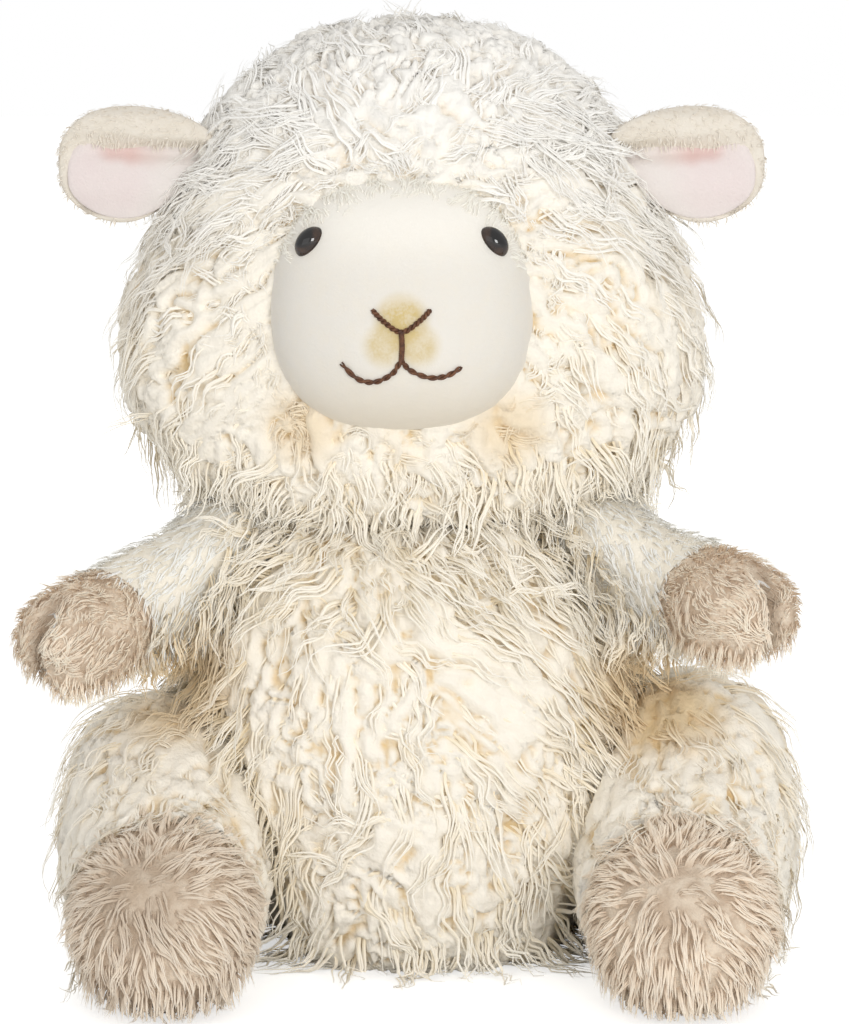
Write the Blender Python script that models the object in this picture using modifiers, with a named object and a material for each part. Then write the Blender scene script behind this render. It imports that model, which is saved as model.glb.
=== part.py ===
"""A seated plush sheep: a long-wool coat, a smooth face, short-pile arms and fur paws and feet.

Metres, +Z up. The seat rests at the origin and the face looks along -Y.
Left and right are as seen from the front, so left is at -X.
"""

import math

import bmesh
import bpy
from mathutils import Matrix, Vector
from mathutils.bvhtree import BVHTree

# Gaps, walls and cuts
GAP = 0.0003
SEAM_GAP = 0.0004
BALL_GAP = 0.0009
WOOL_WALL = 0.003
PLUSH_WALL = 0.002
SEAT_PRESS = 0.0005
OVERRUN = 0.002
MERGE_DISTANCE = 0.00001

# Torso, from the resting plane to the neck seam
TORSO_HEIGHT = 0.118
TORSO_WIDTH = 0.122
TORSO_DEPTH = 0.106
TORSO_SETBACK = 0.004
# Each row: height, half width and half depth
TORSO_RING_SHARES = (
    (0.00, 0.34, 0.34),
    (0.00, 0.72, 0.72),
    (0.09, 0.93, 0.92),
    (0.33, 1.03, 1.03),
    (0.60, 0.98, 0.96),
    (0.83, 0.83, 0.77),
    (0.97, 0.60, 0.54),
    (1.00, 0.30, 0.27),
)

# Bag of pellets in the seat
PELLET_BAG_WIDTH = 0.060
PELLET_BAG_DEPTH = 0.056
PELLET_BAG_HEIGHT = 0.022

# Neck: a ball of stuffing that the head turns and nods on
NECK_RADIUS = 0.020
NECK_RISE = 0.003
HEAD_LIFT = 0.003

# Hood: the wool part of the head
HOOD_HEIGHT = 0.130
HOOD_DROP = 0.006
HOOD_WIDTH = 0.146
HOOD_DEPTH = 0.100
HOOD_SETBACK = 0.002
HOOD_RING_SHARES = (
    (0.00, 0.42, 0.44),
    (0.04, 0.68, 0.70),
    (0.13, 0.89, 0.91),
    (0.27, 1.00, 1.00),
    (0.45, 0.99, 1.00),
    (0.63, 0.91, 0.96),
    (0.79, 0.77, 0.85),
    (0.92, 0.58, 0.65),
    (1.00, 0.27, 0.32),
)

# Tufts that the long wool of the hood and the torso falls into, clear of what they would meet
TUFT_HEIGHT = 0.0055
TUFT_DROOP = 0.003
TUFT_CLEARANCE = 0.010
TUFT_FADE = 0.008

# Face: the smooth panel with its muzzle, which stands out of the hood's front
FACE_WIDTH = 0.070
FACE_HEIGHT = 0.065
FACE_RISE = 0.055
FACE_SHIFT = -0.0024
FACE_REACH = 0.048
FACE_STAND = 0.018
# Each row: reach, half width, half height and how far the ring hangs, in face heights
FACE_RING_SHARES = (
    (0.00, 0.93, 0.93, 0.00),
    (0.34, 1.00, 1.00, 0.00),
    (0.62, 0.98, 0.96, 0.01),
    (0.82, 0.81, 0.78, 0.05),
    (0.95, 0.50, 0.48, 0.09),
    (1.00, 0.22, 0.22, 0.10),
)

# Safety eyes and their washers
EYE_SPACING = 0.0457
EYE_RISE = 0.017
EYE_DIAMETER = 0.009
EYE_DOME = 0.0034
POST_DIAMETER = 0.003
POST_LENGTH = 0.008
WASHER_DIAMETER = 0.012
WASHER_THICKNESS = 0.0012

# Stitched nose and mouth: the nose is a V, the lip a short line, the mouth two arcs
THREAD_DIAMETER = 0.0012
STITCH_STEP = 0.0012
NOSE_WIDTH = 0.0145
NOSE_HEIGHT = 0.0055
NOSE_TIP_DROP = 0.0045
LIP_LENGTH = 0.0058
MOUTH_WIDTH = 0.0300
MOUTH_CURL = 0.0050
# Each row: across the mouth's half width, and down its curl
MOUTH_POINT_SHARES = (
    (-1.00, 0.10),
    (-0.72, 0.88),
    (-0.42, 1.00),
    (-0.14, 0.55),
    (0.00, 0.00),
    (0.14, 0.40),
    (0.45, 0.78),
    (0.75, 0.72),
    (1.00, 0.30),
)

# Ears
EAR_LENGTH = 0.0365
EAR_HEIGHT = 0.032
EAR_THICKNESS = 0.0060
EAR_RISE = 0.090
EAR_FORWARD = 0.012
EAR_SEAM_SHARE = 0.68
LINING_THICKNESS = 0.0024
LINING_RISE = 0.0008
LINING_HEIGHT_SHARE = 0.76
LINING_SPAN_SHARES = (0.14, 0.90)
# Each row: along the ear, half height and half thickness
EAR_RING_SHARES = (
    (-0.05, 0.46, 0.30),
    (0.00, 0.62, 0.90),
    (0.24, 0.94, 1.00),
    (0.55, 1.03, 0.96),
    (0.80, 0.86, 0.84),
    (0.95, 0.54, 0.66),
    (1.00, 0.26, 0.40),
)

# Arms: a sleeve of short pile and a cloven paw of fur
ARM_DIAMETER = 0.027
ARM_SEAT_SHARE = 0.712
ARM_SEAT_RISE_SHARE = 0.862
ARM_SEAT_FORWARD = 0.004
ARM_TILT = math.radians(33)
ARM_YAW = math.radians(8)
ARM_TUCK = 0.007
ARM_SPRING = 0.014
WRIST_PLACES = {"left": (0.0345, 0.0340, -0.0055), "right": (0.0325, 0.0400, 0.0005)}
PAW_LENGTH = 0.031
PAW_WIDTH = 0.030
PAW_HEIGHT = 0.026
PAW_ROLLS = {"left": math.radians(-16), "right": math.radians(4)}
CLEFT_DEPTH = 0.011
CLEFT_WIDTH = 0.0044
CLEFT_REACH = 0.015
CLEFT_SIDE_SHARE = 0.20
# Each row: along the sleeve from its root to the wrist, and radius
SLEEVE_RING_SHARES = ((0.00, 0.86), (0.30, 1.02), (0.64, 1.00), (0.96, 0.92))
# Each row: along the paw from the wrist to its tip, half width and half height
PAW_RING_SHARES = (
    (0.22, 0.92, 0.98),
    (0.50, 1.04, 1.04),
    (0.82, 0.86, 0.84),
    (1.00, 0.42, 0.42),
)

# Legs: a wool thigh and a fur foot
LEG_LENGTH = 0.125
LEG_BACK = 0.026
LEG_REST = 0.0005
LEG_SEAT_INSET = 0.021
LEG_SEAT_FORWARD = 0.004
LEG_SEAT_RISE = 0.036
LEG_TILT = math.radians(18)
LEG_YAW = math.radians(15)
ANKLE_SHARE = 0.69
THIGH_OUT = {"left": 0.066, "right": 0.074}
THIGH_WIDTH = {"left": 0.056, "right": 0.060}
THIGH_HEIGHT = {"left": 0.065, "right": 0.071}
FOOT_OUT = {"left": 0.0627, "right": 0.0687}
FOOT_WIDTH = 0.047
FOOT_HEIGHT = 0.044
# Each row: along the leg, how far the thigh has become foot, and size
LEG_RING_SHARES = (
    (0.00, 0.00, 0.42),
    (0.07, 0.00, 0.80),
    (0.26, 0.00, 1.01),
    (0.55, 0.55, 0.98),
    (0.69, 1.00, 0.95),
    (0.82, 1.00, 1.04),
    (0.94, 1.00, 0.84),
    (1.00, 1.00, 0.48),
)

# Facets of the forms
FORM_SIDES = 12
LIMB_SIDES = 10
CORE_SIDES = 8
TURNED_STEPS = 14
DOME_STEPS = 6
NECK_FACETS = 18
BAG_FACETS = 16
CLEFT_FACETS = 8

# Places worked out from the sizes above
NECK_CENTRE = Vector((0, TORSO_SETBACK, TORSO_HEIGHT + NECK_RISE))
HEAD_FLOOR = NECK_CENTRE.z + HEAD_LIFT
HOOD_FLOOR = NECK_CENTRE.z - HOOD_DROP
HOOD_FRONT = HOOD_SETBACK - HOOD_DEPTH / 2
FACE_ROOT = HOOD_FRONT - FACE_STAND + FACE_REACH
FACE_CENTRE = Vector((FACE_SHIFT, FACE_ROOT, NECK_CENTRE.z + FACE_RISE))
SIDES = {"left": -1, "right": 1}

# Linear colours with roughness
FINISHES = {
    "wool": ((0.80, 0.74, 0.61), 0.95),
    "face": ((0.88, 0.83, 0.73), 0.90),
    "sleeve": ((0.84, 0.79, 0.68), 0.92),
    "fur": ((0.52, 0.45, 0.37), 0.95),
    "lining": ((0.85, 0.62, 0.59), 0.88),
    "filling": ((0.90, 0.90, 0.88), 0.98),
    "bag": ((0.70, 0.68, 0.62), 0.85),
    "thread": ((0.07, 0.03, 0.015), 0.60),
    "eye": ((0.02, 0.012, 0.008), 0.08),
    "washer": ((0.75, 0.75, 0.73), 0.45),
}


def clear_scene():
    for thing in list(bpy.data.objects):
        bpy.data.objects.remove(thing, do_unlink=True)


def collection(name):
    made = bpy.data.collections.new(name)
    bpy.context.scene.collection.children.link(made)
    return made


def finish(name):
    colour, roughness = FINISHES[name]
    material = bpy.data.materials.get(name) or bpy.data.materials.new(name)
    material.use_nodes = True
    shader = material.node_tree.nodes["Principled BSDF"]
    shader.inputs["Base Color"].default_value = (*colour, 1)
    shader.inputs["Roughness"].default_value = roughness
    shader.inputs["Metallic"].default_value = 0
    return material


def object_from(bm, name, home):
    mesh = bpy.data.meshes.new(name)
    bm.to_mesh(mesh)
    bm.free()
    made = bpy.data.objects.new(name, mesh)
    home.objects.link(made)
    return made


def evaluated_mesh(piece):
    bpy.context.view_layer.update()
    seen = piece.evaluated_get(bpy.context.evaluated_depsgraph_get())
    return bpy.data.meshes.new_from_object(seen)


def cage(rings, sides):
    """A closed cage lofted through rings of (centre, across, up, half width, half height).

    Subdivision draws a ring in, so the cage is wider by as much.
    """
    widening = 3 / (2 + math.cos(math.tau / sides))
    bm = bmesh.new()
    loops = []
    for centre, across, up, half_width, half_height in rings:
        loop = []
        for i in range(sides):
            angle = math.tau * i / sides
            sideways = across * half_width * math.cos(angle)
            upward = up * half_height * math.sin(angle)
            loop.append(bm.verts.new(centre + (sideways + upward) * widening))
        loops.append(loop)
    for one, other in zip(loops, loops[1:]):
        for i in range(sides):
            j = (i + 1) % sides
            bm.faces.new((one[i], one[j], other[j], other[i]))
    bm.faces.new(list(reversed(loops[0])))
    bm.faces.new(loops[-1])
    bmesh.ops.recalc_face_normals(bm, faces=bm.faces)
    return bm


def slice_off(bm, point, outward):
    """Removes what lies beyond a plane and closes the cut."""
    everything = bm.verts[:] + bm.edges[:] + bm.faces[:]
    cut = bmesh.ops.bisect_plane(
        bm, geom=everything, plane_co=point, plane_no=outward, clear_outer=True
    )
    rim = [item for item in cut["geom_cut"] if isinstance(item, bmesh.types.BMEdge)]
    bmesh.ops.edgeloop_fill(bm, edges=rim)
    bmesh.ops.recalc_face_normals(bm, faces=bm.faces)


def raise_tufts(bm, corners, edges, room):
    """Draws the wool out into drooping tufts at the corners of the cage and the middles of its faces.

    The vertices between them, one for each edge of the cage, stay as the valleys.
    room tells how far a place lies from what the tufts would meet.
    """
    bm.verts.ensure_lookup_table()
    bm.normal_update()
    valleys = bm.verts[corners : corners + edges]
    tufts = [*bm.verts[:corners], *bm.verts[corners + edges :]]
    bmesh.ops.connect_verts(bm, verts=valleys)
    for vert in tufts:
        share = min(1, max(0, (room(vert.co) - TUFT_CLEARANCE) / TUFT_FADE))
        vert.co += (vert.normal * TUFT_HEIGHT - Vector((0, 0, TUFT_DROOP))) * share


def form(name, home, rings, sides, inset=0, planes=(), room=None):
    """A smooth stuffed form, drawn in by inset and cut flat by planes of (point, outward)."""
    coarse = cage(rings, sides)
    corners, edges = len(coarse.verts), len(coarse.edges)
    rough = object_from(coarse, name, home)
    smooth = rough.modifiers.new("smooth", "SUBSURF")
    smooth.levels = smooth.render_levels = 1
    if inset:
        shrink = rough.modifiers.new("inset", "DISPLACE")
        shrink.mid_level = 0
        shrink.strength = -inset
    bm = bmesh.new()
    bm.from_mesh(evaluated_mesh(rough))
    bpy.data.objects.remove(rough)
    if room:
        raise_tufts(bm, corners, edges, room)
    for point, outward in planes:
        slice_off(bm, point - outward * inset, outward)
    return object_from(bm, name, home)


def turned(name, home, profile):
    """A round piece from a profile of (radius, height), outer side from top to bottom."""
    bm = bmesh.new()
    points = [bm.verts.new((radius, 0, height)) for radius, height in profile]
    for one, other in zip(points, points[1:]):
        bm.edges.new((one, other))
    piece = object_from(bm, name, home)
    screw = piece.modifiers.new("turn", "SCREW")
    screw.steps = screw.render_steps = TURNED_STEPS
    screw.use_merge_vertices = True
    screw.merge_threshold = MERGE_DISTANCE
    return piece


def ball(name, home, centre, radii, facets):
    """A ball stretched to three radii, with as many facets round it."""
    bm = bmesh.new()
    stretch = Matrix.Diagonal((*radii, 1))
    bmesh.ops.create_uvsphere(
        bm, u_segments=facets, v_segments=facets // 2, radius=1, matrix=stretch
    )
    piece = object_from(bm, name, home)
    piece.location = centre
    return piece


def rod(name, home, radius, top, bottom):
    """A cylinder about Z between two heights."""
    bm = bmesh.new()
    bmesh.ops.create_cone(
        bm,
        cap_ends=True,
        segments=TURNED_STEPS,
        radius1=radius,
        radius2=radius,
        depth=top - bottom,
        matrix=Matrix.Translation((0, 0, (top + bottom) / 2)),
    )
    return object_from(bm, name, home)


def combine(piece, tool, operation):
    step = piece.modifiers.new(operation.lower(), "BOOLEAN")
    step.operation = operation
    step.object = tool


def surface_of(piece):
    bpy.context.view_layer.update()
    return BVHTree.FromObject(piece, bpy.context.evaluated_depsgraph_get())


def front_of(surface, x, z):
    """The point and normal that a straight look along +Y meets at (x, z)."""
    point, normal, _, _ = surface.ray_cast(Vector((x, -HOOD_WIDTH, z)), Vector((0, 1, 0)))
    return point, normal


def smooth_path(points, step):
    """Points about a step apart on a Catmull-Rom curve through the given ones."""
    ends = [2 * points[0] - points[1], *points, 2 * points[-1] - points[-2]]
    path = [points[0]]
    for a, b, c, d in zip(ends, ends[1:], ends[2:], ends[3:]):
        count = max(2, round((c - b).length / step))
        for i in range(1, count + 1):
            t = i / count
            path.append(
                0.5
                * (
                    2 * b
                    + (c - a) * t
                    + (2 * a - 5 * b + 4 * c - d) * t**2
                    + (3 * b - a - 3 * c + d) * t**3
                )
            )
    return path


class Sheep:
    """Holds the collections, the pivots and the pieces as they are made."""

    def __init__(self):
        self.home = collection("plush_sheep")
        self.cutters = collection("cutters")

    def pivot(self, name, place, parent=None):
        empty = bpy.data.objects.new(name, None)
        self.home.objects.link(empty)
        empty.location = place - (parent.matrix_world.translation if parent else Vector())
        empty.parent = parent
        bpy.context.view_layer.update()
        return empty

    def piece(self, thing, material, pivot=None):
        """Finishes a piece and hangs it on its pivot without moving it."""
        thing.data.materials.clear()
        thing.data.materials.append(finish(material))
        thing.data.shade_smooth()
        thing.data.set_sharp_from_angle(angle=math.radians(40))
        if pivot:
            thing.parent = pivot
            thing.matrix_parent_inverse = pivot.matrix_world.inverted()
        return thing

    def tool(self, thing):
        thing.hide_render = True
        thing.display_type = "WIRE"
        return thing


def standing_rings(shares, floor, height, width, depth, setback):
    """Level rings, one above the other."""
    return [
        (
            Vector((0, setback, floor + height * up)),
            Vector((1, 0, 0)),
            Vector((0, 1, 0)),
            width / 2 * across,
            depth / 2 * along,
        )
        for up, across, along in shares
    ]


def torso_rings():
    return standing_rings(
        TORSO_RING_SHARES,
        -SEAT_PRESS,
        TORSO_HEIGHT + SEAT_PRESS,
        TORSO_WIDTH,
        TORSO_DEPTH,
        TORSO_SETBACK,
    )


def hood_rings():
    return standing_rings(
        HOOD_RING_SHARES, HOOD_FLOOR, HOOD_HEIGHT, HOOD_WIDTH, HOOD_DEPTH, HOOD_SETBACK
    )


def face_rings():
    return [
        (
            FACE_CENTRE - Vector((0, FACE_REACH * reach, FACE_HEIGHT * hang)),
            Vector((1, 0, 0)),
            Vector((0, 0, 1)),
            FACE_WIDTH / 2 * across,
            FACE_HEIGHT / 2 * up,
        )
        for reach, across, up, hang in FACE_RING_SHARES
    ]


def arm_seat(side):
    """The plane between torso and sleeve: a point and the normal that faces the arm."""
    sign = SIDES[side]
    point = Vector(
        (
            sign * TORSO_WIDTH / 2 * ARM_SEAT_SHARE,
            -ARM_SEAT_FORWARD,
            TORSO_HEIGHT * ARM_SEAT_RISE_SHARE,
        )
    )
    level = math.cos(ARM_TILT)
    facing = (sign * level * math.cos(ARM_YAW), -level * math.sin(ARM_YAW), math.sin(ARM_TILT))
    return point, Vector(facing)


def leg_seat(side):
    """The plane between torso and leg."""
    sign = SIDES[side]
    point = Vector(
        (sign * (THIGH_OUT[side] - LEG_SEAT_INSET), -LEG_SEAT_FORWARD, LEG_SEAT_RISE)
    )
    level = math.cos(LEG_TILT)
    facing = (sign * level * math.cos(LEG_YAW), -level * math.sin(LEG_YAW), -math.sin(LEG_TILT))
    return point, Vector(facing)


def arm_route(side):
    """Root, bend and wrist of the arm, and the direction that the paw points in."""
    seat, facing = arm_seat(side)
    out, forward, rise = WRIST_PLACES[side]
    root = seat - facing * ARM_TUCK
    bend = seat + facing * ARM_SPRING
    wrist = seat + Vector((SIDES[side] * out, -forward, rise))
    return root, bend, wrist, (wrist - bend).normalized()


def arm_rings(side):
    root, bend, wrist, ahead = arm_route(side)
    rings = []
    for share, size in SLEEVE_RING_SHARES:
        centre = root.lerp(bend, share).lerp(bend.lerp(wrist, share), share)
        along = (bend.lerp(wrist, share) - root.lerp(bend, share)).normalized()
        radius = ARM_DIAMETER / 2 * size
        rings.append((centre, *ring_frame(along, 0), radius, radius))
    across, up = ring_frame(ahead, PAW_ROLLS[side])
    for share, wide, high in PAW_RING_SHARES:
        centre = wrist + ahead * PAW_LENGTH * share
        rings.append((centre, across, up, PAW_WIDTH / 2 * wide, PAW_HEIGHT / 2 * high))
    return rings


def ring_frame(along, roll):
    """Level and upward directions square to a path, rolled about it."""
    across = along.cross(Vector((0, 0, 1))).normalized()
    up = across.cross(along)
    turn = Matrix.Rotation(roll, 3, along)
    return turn @ across, turn @ up


def leg_rings(side):
    rings = []
    for along, footed, size in LEG_RING_SHARES:
        out = THIGH_OUT[side] * (1 - footed) + FOOT_OUT[side] * footed
        wide = THIGH_WIDTH[side] * (1 - footed) + FOOT_WIDTH * footed
        high = THIGH_HEIGHT[side] * (1 - footed) + FOOT_HEIGHT * footed
        centre = Vector(
            (SIDES[side] * out, LEG_BACK - LEG_LENGTH * along, LEG_REST + high / 2)
        )
        rings.append(
            (centre, Vector((1, 0, 0)), Vector((0, 0, 1)), wide / 2 * size, high / 2 * size)
        )
    return rings


def torso_planes():
    planes = [(Vector((0, 0, 0)), Vector((0, 0, -1)))]
    for side in SIDES:
        planes.append(arm_seat(side))
        planes.append(leg_seat(side))
    return planes


def torso_room(place):
    """How far a place on the torso lies from its seams, the floor and the hood."""
    seams = [(point - place).dot(outward) for point, outward in torso_planes()]
    return min(HOOD_FLOOR - place.z, *seams)


def hood_room(place):
    """How far a place on the hood lies from the face, the ears and the shoulders."""
    across = (place.x - FACE_CENTRE.x) / (FACE_WIDTH / 2)
    up = (place.z - FACE_CENTRE.z) / (FACE_HEIGHT / 2)
    beside_face = (math.hypot(across, up) - 1) * FACE_WIDTH / 2
    if place.y > FACE_CENTRE.y:
        beside_face = HOOD_WIDTH
    behind_ear = place.y + EAR_FORWARD
    above_ear = place.z - NECK_CENTRE.z - EAR_RISE
    beside_ear = math.hypot(behind_ear, above_ear) - EAR_HEIGHT / 2
    return min(beside_face, beside_ear, place.z - HEAD_FLOOR - TUFT_CLEARANCE)


def neck_socket(sheep, name):
    """The room that the neck turns in, wide enough for its facets to pass."""
    radius = NECK_RADIUS + BALL_GAP
    return sheep.tool(ball(name, sheep.cutters, NECK_CENTRE, [radius] * 3, NECK_FACETS))


def add_torso(sheep):
    planes = torso_planes()
    cover = form("torso_cover", sheep.home, torso_rings(), FORM_SIDES, 0, planes, torso_room)
    hollow = sheep.tool(
        form("torso_hollow", sheep.cutters, torso_rings(), CORE_SIDES, WOOL_WALL, planes)
    )
    filling = form(
        "torso_filling", sheep.home, torso_rings(), CORE_SIDES, WOOL_WALL + GAP, planes
    )
    neck_bowl = neck_socket(sheep, "neck_bowl")
    bag_centre = Vector((0, TORSO_SETBACK, WOOL_WALL + GAP + PELLET_BAG_HEIGHT / 2))
    bag_radii = [PELLET_BAG_WIDTH / 2, PELLET_BAG_DEPTH / 2, PELLET_BAG_HEIGHT / 2]
    bag = ball("pellet_bag", sheep.home, bag_centre, bag_radii, BAG_FACETS)
    pocket_radii = [radius + GAP for radius in bag_radii]
    bag_pocket = sheep.tool(
        ball("bag_pocket", sheep.cutters, bag_centre, pocket_radii, BAG_FACETS)
    )
    combine(cover, hollow, "DIFFERENCE")
    combine(cover, neck_bowl, "DIFFERENCE")
    combine(filling, neck_bowl, "DIFFERENCE")
    combine(filling, bag_pocket, "DIFFERENCE")
    sheep.piece(cover, "wool")
    sheep.piece(filling, "filling")
    sheep.piece(bag, "bag")


def add_neck(sheep):
    turn = sheep.pivot("head_turn_pivot", NECK_CENTRE)
    neck = ball("neck_filling", sheep.home, NECK_CENTRE, [NECK_RADIUS] * 3, NECK_FACETS)
    sheep.piece(neck, "filling", turn)
    return sheep.pivot("head_nod_pivot", NECK_CENTRE, turn)


def add_head(sheep, nod):
    floor = [(Vector((0, 0, HEAD_FLOOR)), Vector((0, 0, -1)))]
    hood = form("hood_cover", sheep.home, hood_rings(), FORM_SIDES, 0, floor, hood_room)
    hollow = sheep.tool(
        form("hood_hollow", sheep.cutters, hood_rings(), CORE_SIDES, WOOL_WALL, floor)
    )
    socket = neck_socket(sheep, "head_socket")
    face = form("face_panel", sheep.home, face_rings(), FORM_SIDES)
    face_seat = sheep.tool(
        form("face_seat", sheep.cutters, face_rings(), FORM_SIDES, -GAP)
    )
    face_hollow = sheep.tool(
        form("face_hollow", sheep.cutters, face_rings(), CORE_SIDES, PLUSH_WALL)
    )
    face_core = sheep.tool(
        form("face_core", sheep.cutters, face_rings(), CORE_SIDES, PLUSH_WALL + GAP)
    )
    filling = form(
        "head_filling", sheep.home, hood_rings(), CORE_SIDES, WOOL_WALL + GAP, floor
    )
    face_surface = surface_of(face)
    face_lining = surface_of(face_hollow)
    hood_surface = surface_of(hood)
    for tool in (hollow, socket, face_seat):
        combine(hood, tool, "DIFFERENCE")
    for tool in (face_hollow, hollow):
        combine(face, tool, "DIFFERENCE")
    combine(filling, face_core, "UNION")
    combine(filling, socket, "DIFFERENCE")
    sheep.piece(hood, "wool", nod)
    sheep.piece(face, "face", nod)
    sheep.piece(filling, "filling", nod)
    for side in SIDES:
        add_eye(sheep, nod, side, (face_surface, face_lining), face, filling)
        add_ear(sheep, nod, side, hood_surface)
    add_stitching(sheep, nod, face_surface)


def eye_profile():
    """Dome, flat back and post, from the top of the dome down."""
    radius = EYE_DIAMETER / 2
    dome = [
        (radius * math.sin(angle), EYE_DOME * math.cos(angle))
        for angle in [math.pi / 2 * i / DOME_STEPS for i in range(DOME_STEPS + 1)]
    ]
    post = POST_DIAMETER / 2
    return [*dome, (post, 0), (post, -POST_LENGTH), (0, -POST_LENGTH)]


def washer_profile(top):
    """A square-edged ring, closed by its first point."""
    bore = POST_DIAMETER / 2 + GAP
    rim = WASHER_DIAMETER / 2
    bottom = top - WASHER_THICKNESS
    return [(bore, top), (rim, top), (rim, bottom), (bore, bottom), (bore, top)]


def inner_depth(lining, seated, normal):
    """How far behind the eye a flat washer clears the inside of the curved face."""
    first = normal.orthogonal().normalized()
    second = normal.cross(first)
    depths = []
    for i in range(CORE_SIDES):
        angle = math.tau * i / CORE_SIDES
        rim = (first * math.cos(angle) + second * math.sin(angle)) * WASHER_DIAMETER / 2
        _, _, _, depth = lining.ray_cast(seated + rim, -normal)
        depths.append(depth)
    return max(depths)


def add_eye(sheep, nod, side, surfaces, face, filling):
    skin, lining = surfaces
    x = FACE_CENTRE.x + SIDES[side] * EYE_SPACING / 2
    point, normal = front_of(skin, x, FACE_CENTRE.z + EYE_RISE)
    seated = point + normal * (2 * GAP)
    turn = normal.to_track_quat("Z", "Y").to_euler()
    top = -inner_depth(lining, seated, normal) - GAP
    eye = turned(f"eye_{side}", sheep.home, eye_profile())
    washer = turned(f"eye_washer_{side}", sheep.home, washer_profile(top))
    hole = rod(
        f"eye_hole_{side}",
        sheep.cutters,
        POST_DIAMETER / 2 + GAP,
        OVERRUN,
        -POST_LENGTH - OVERRUN,
    )
    pocket = rod(
        f"washer_pocket_{side}",
        sheep.cutters,
        WASHER_DIAMETER / 2 + GAP,
        OVERRUN,
        -POST_LENGTH - GAP,
    )
    for thing in (eye, washer, hole, pocket):
        thing.location = seated
        thing.rotation_euler = turn
    combine(face, sheep.tool(hole), "DIFFERENCE")
    combine(filling, sheep.tool(pocket), "DIFFERENCE")
    bpy.context.view_layer.update()
    sheep.piece(eye, "eye", nod)
    sheep.piece(washer, "washer", nod)


def stitch(sheep, nod, surface, name, points):
    """A thread that lies on the face along points of (x, z)."""
    route = smooth_path([Vector(point) for point in points], STITCH_STEP)
    curve = bpy.data.curves.new(name, "CURVE")
    curve.dimensions = "3D"
    curve.bevel_depth = THREAD_DIAMETER / 2
    curve.bevel_resolution = 1
    curve.use_fill_caps = True
    line = curve.splines.new("POLY")
    line.points.add(len(route) - 1)
    for knot, place in zip(line.points, route):
        point, normal = front_of(surface, place.x, place.y)
        knot.co = (*(point + normal * (THREAD_DIAMETER / 2 + GAP)), 1)
    tube = bpy.data.objects.new(name, curve)
    sheep.home.objects.link(tube)
    bm = bmesh.new()
    bm.from_mesh(evaluated_mesh(tube))
    bpy.data.objects.remove(tube)
    bmesh.ops.remove_doubles(bm, verts=bm.verts, dist=MERGE_DISTANCE)
    sheep.piece(object_from(bm, name, sheep.home), "thread", nod)


def add_stitching(sheep, nod, surface):
    x = FACE_CENTRE.x
    tip = FACE_CENTRE.z - NOSE_TIP_DROP
    half = NOSE_WIDTH / 2
    clear = THREAD_DIAMETER + GAP
    brow = tip + NOSE_HEIGHT
    stitch(sheep, nod, surface, "nose_stitching", [(x - half, brow), (x, tip), (x + half, brow)])
    lip = tip - clear
    stitch(sheep, nod, surface, "lip_stitching", [(x, lip), (x, lip - LIP_LENGTH)])
    start = lip - LIP_LENGTH - clear
    mouth = [
        (x + MOUTH_WIDTH / 2 * across, start - MOUTH_CURL * down)
        for across, down in MOUTH_POINT_SHARES
    ]
    stitch(sheep, nod, surface, "mouth_stitching", mouth)


def ear_seat(side, surface):
    """Where the ear's seam lies on the hood: the fold's centre and the way that the seam rises."""
    sign = SIDES[side]
    start = Vector((sign * HOOD_WIDTH, -EAR_FORWARD, NECK_CENTRE.z + EAR_RISE))
    point, normal, _, _ = surface.ray_cast(start, Vector((-sign, 0, 0)))
    rising = Vector((0, -sign, 0)).cross(normal).normalized()
    return point + normal * EAR_THICKNESS / 2 * EAR_SEAM_SHARE, rising


def ear_rings(side, seat, span, height, thickness, forward):
    """Flat rings from the slanted seam to the upright tip."""
    root, rising = seat
    start, end = span
    rings = []
    for along, high, thick in EAR_RING_SHARES:
        reach = start + (end - start) * along
        up = Vector((0, 0, 1)).slerp(rising, max(0, 1 - 2 * abs(reach)))
        centre = root + Vector((SIDES[side] * EAR_LENGTH * reach, -forward, 0))
        rings.append((centre, up, Vector((0, 1, 0)), height / 2 * high, thickness / 2 * thick))
    return rings


def add_ear(sheep, nod, side, surface):
    seat = ear_seat(side, surface)
    fold = sheep.pivot(f"ear_fold_{side}_pivot", seat[0], nod)
    whole = ear_rings(side, seat, (0, 1), EAR_HEIGHT, EAR_THICKNESS, 0)
    inlay = ear_rings(
        side,
        seat,
        LINING_SPAN_SHARES,
        EAR_HEIGHT * LINING_HEIGHT_SHARE,
        LINING_THICKNESS,
        EAR_THICKNESS / 2 - LINING_THICKNESS / 2 + LINING_RISE,
    )
    back = form(f"ear_back_{side}", sheep.home, whole, CORE_SIDES)
    lining = form(f"ear_lining_{side}", sheep.home, inlay, CORE_SIDES)
    recess = sheep.tool(form(f"ear_recess_{side}", sheep.cutters, inlay, CORE_SIDES, -GAP))
    combine(back, recess, "DIFFERENCE")
    sheep.piece(back, "sleeve", fold)
    sheep.piece(lining, "lining", fold)


def cleft(sheep, side, growth, use):
    """A thin lens that parts the tip of the paw into its two toes."""
    _, _, wrist, ahead = arm_route(side)
    across, _ = ring_frame(ahead, PAW_ROLLS[side])
    outward = across if across.x * SIDES[side] > 0 else -across
    tip = wrist + ahead * PAW_LENGTH
    centre = (
        tip
        + outward * PAW_WIDTH / 2 * CLEFT_SIDE_SHARE
        + ahead * (CLEFT_REACH - CLEFT_DEPTH)
    )
    radii = [CLEFT_WIDTH / 2 + growth, CLEFT_REACH + growth, CLEFT_REACH + growth]
    lens = ball(f"paw_cleft_{use}_{side}", sheep.cutters, centre, radii, CLEFT_FACETS)
    lens.rotation_euler = across.to_track_quat("X", "Z").to_euler()
    return sheep.tool(lens)


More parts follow.
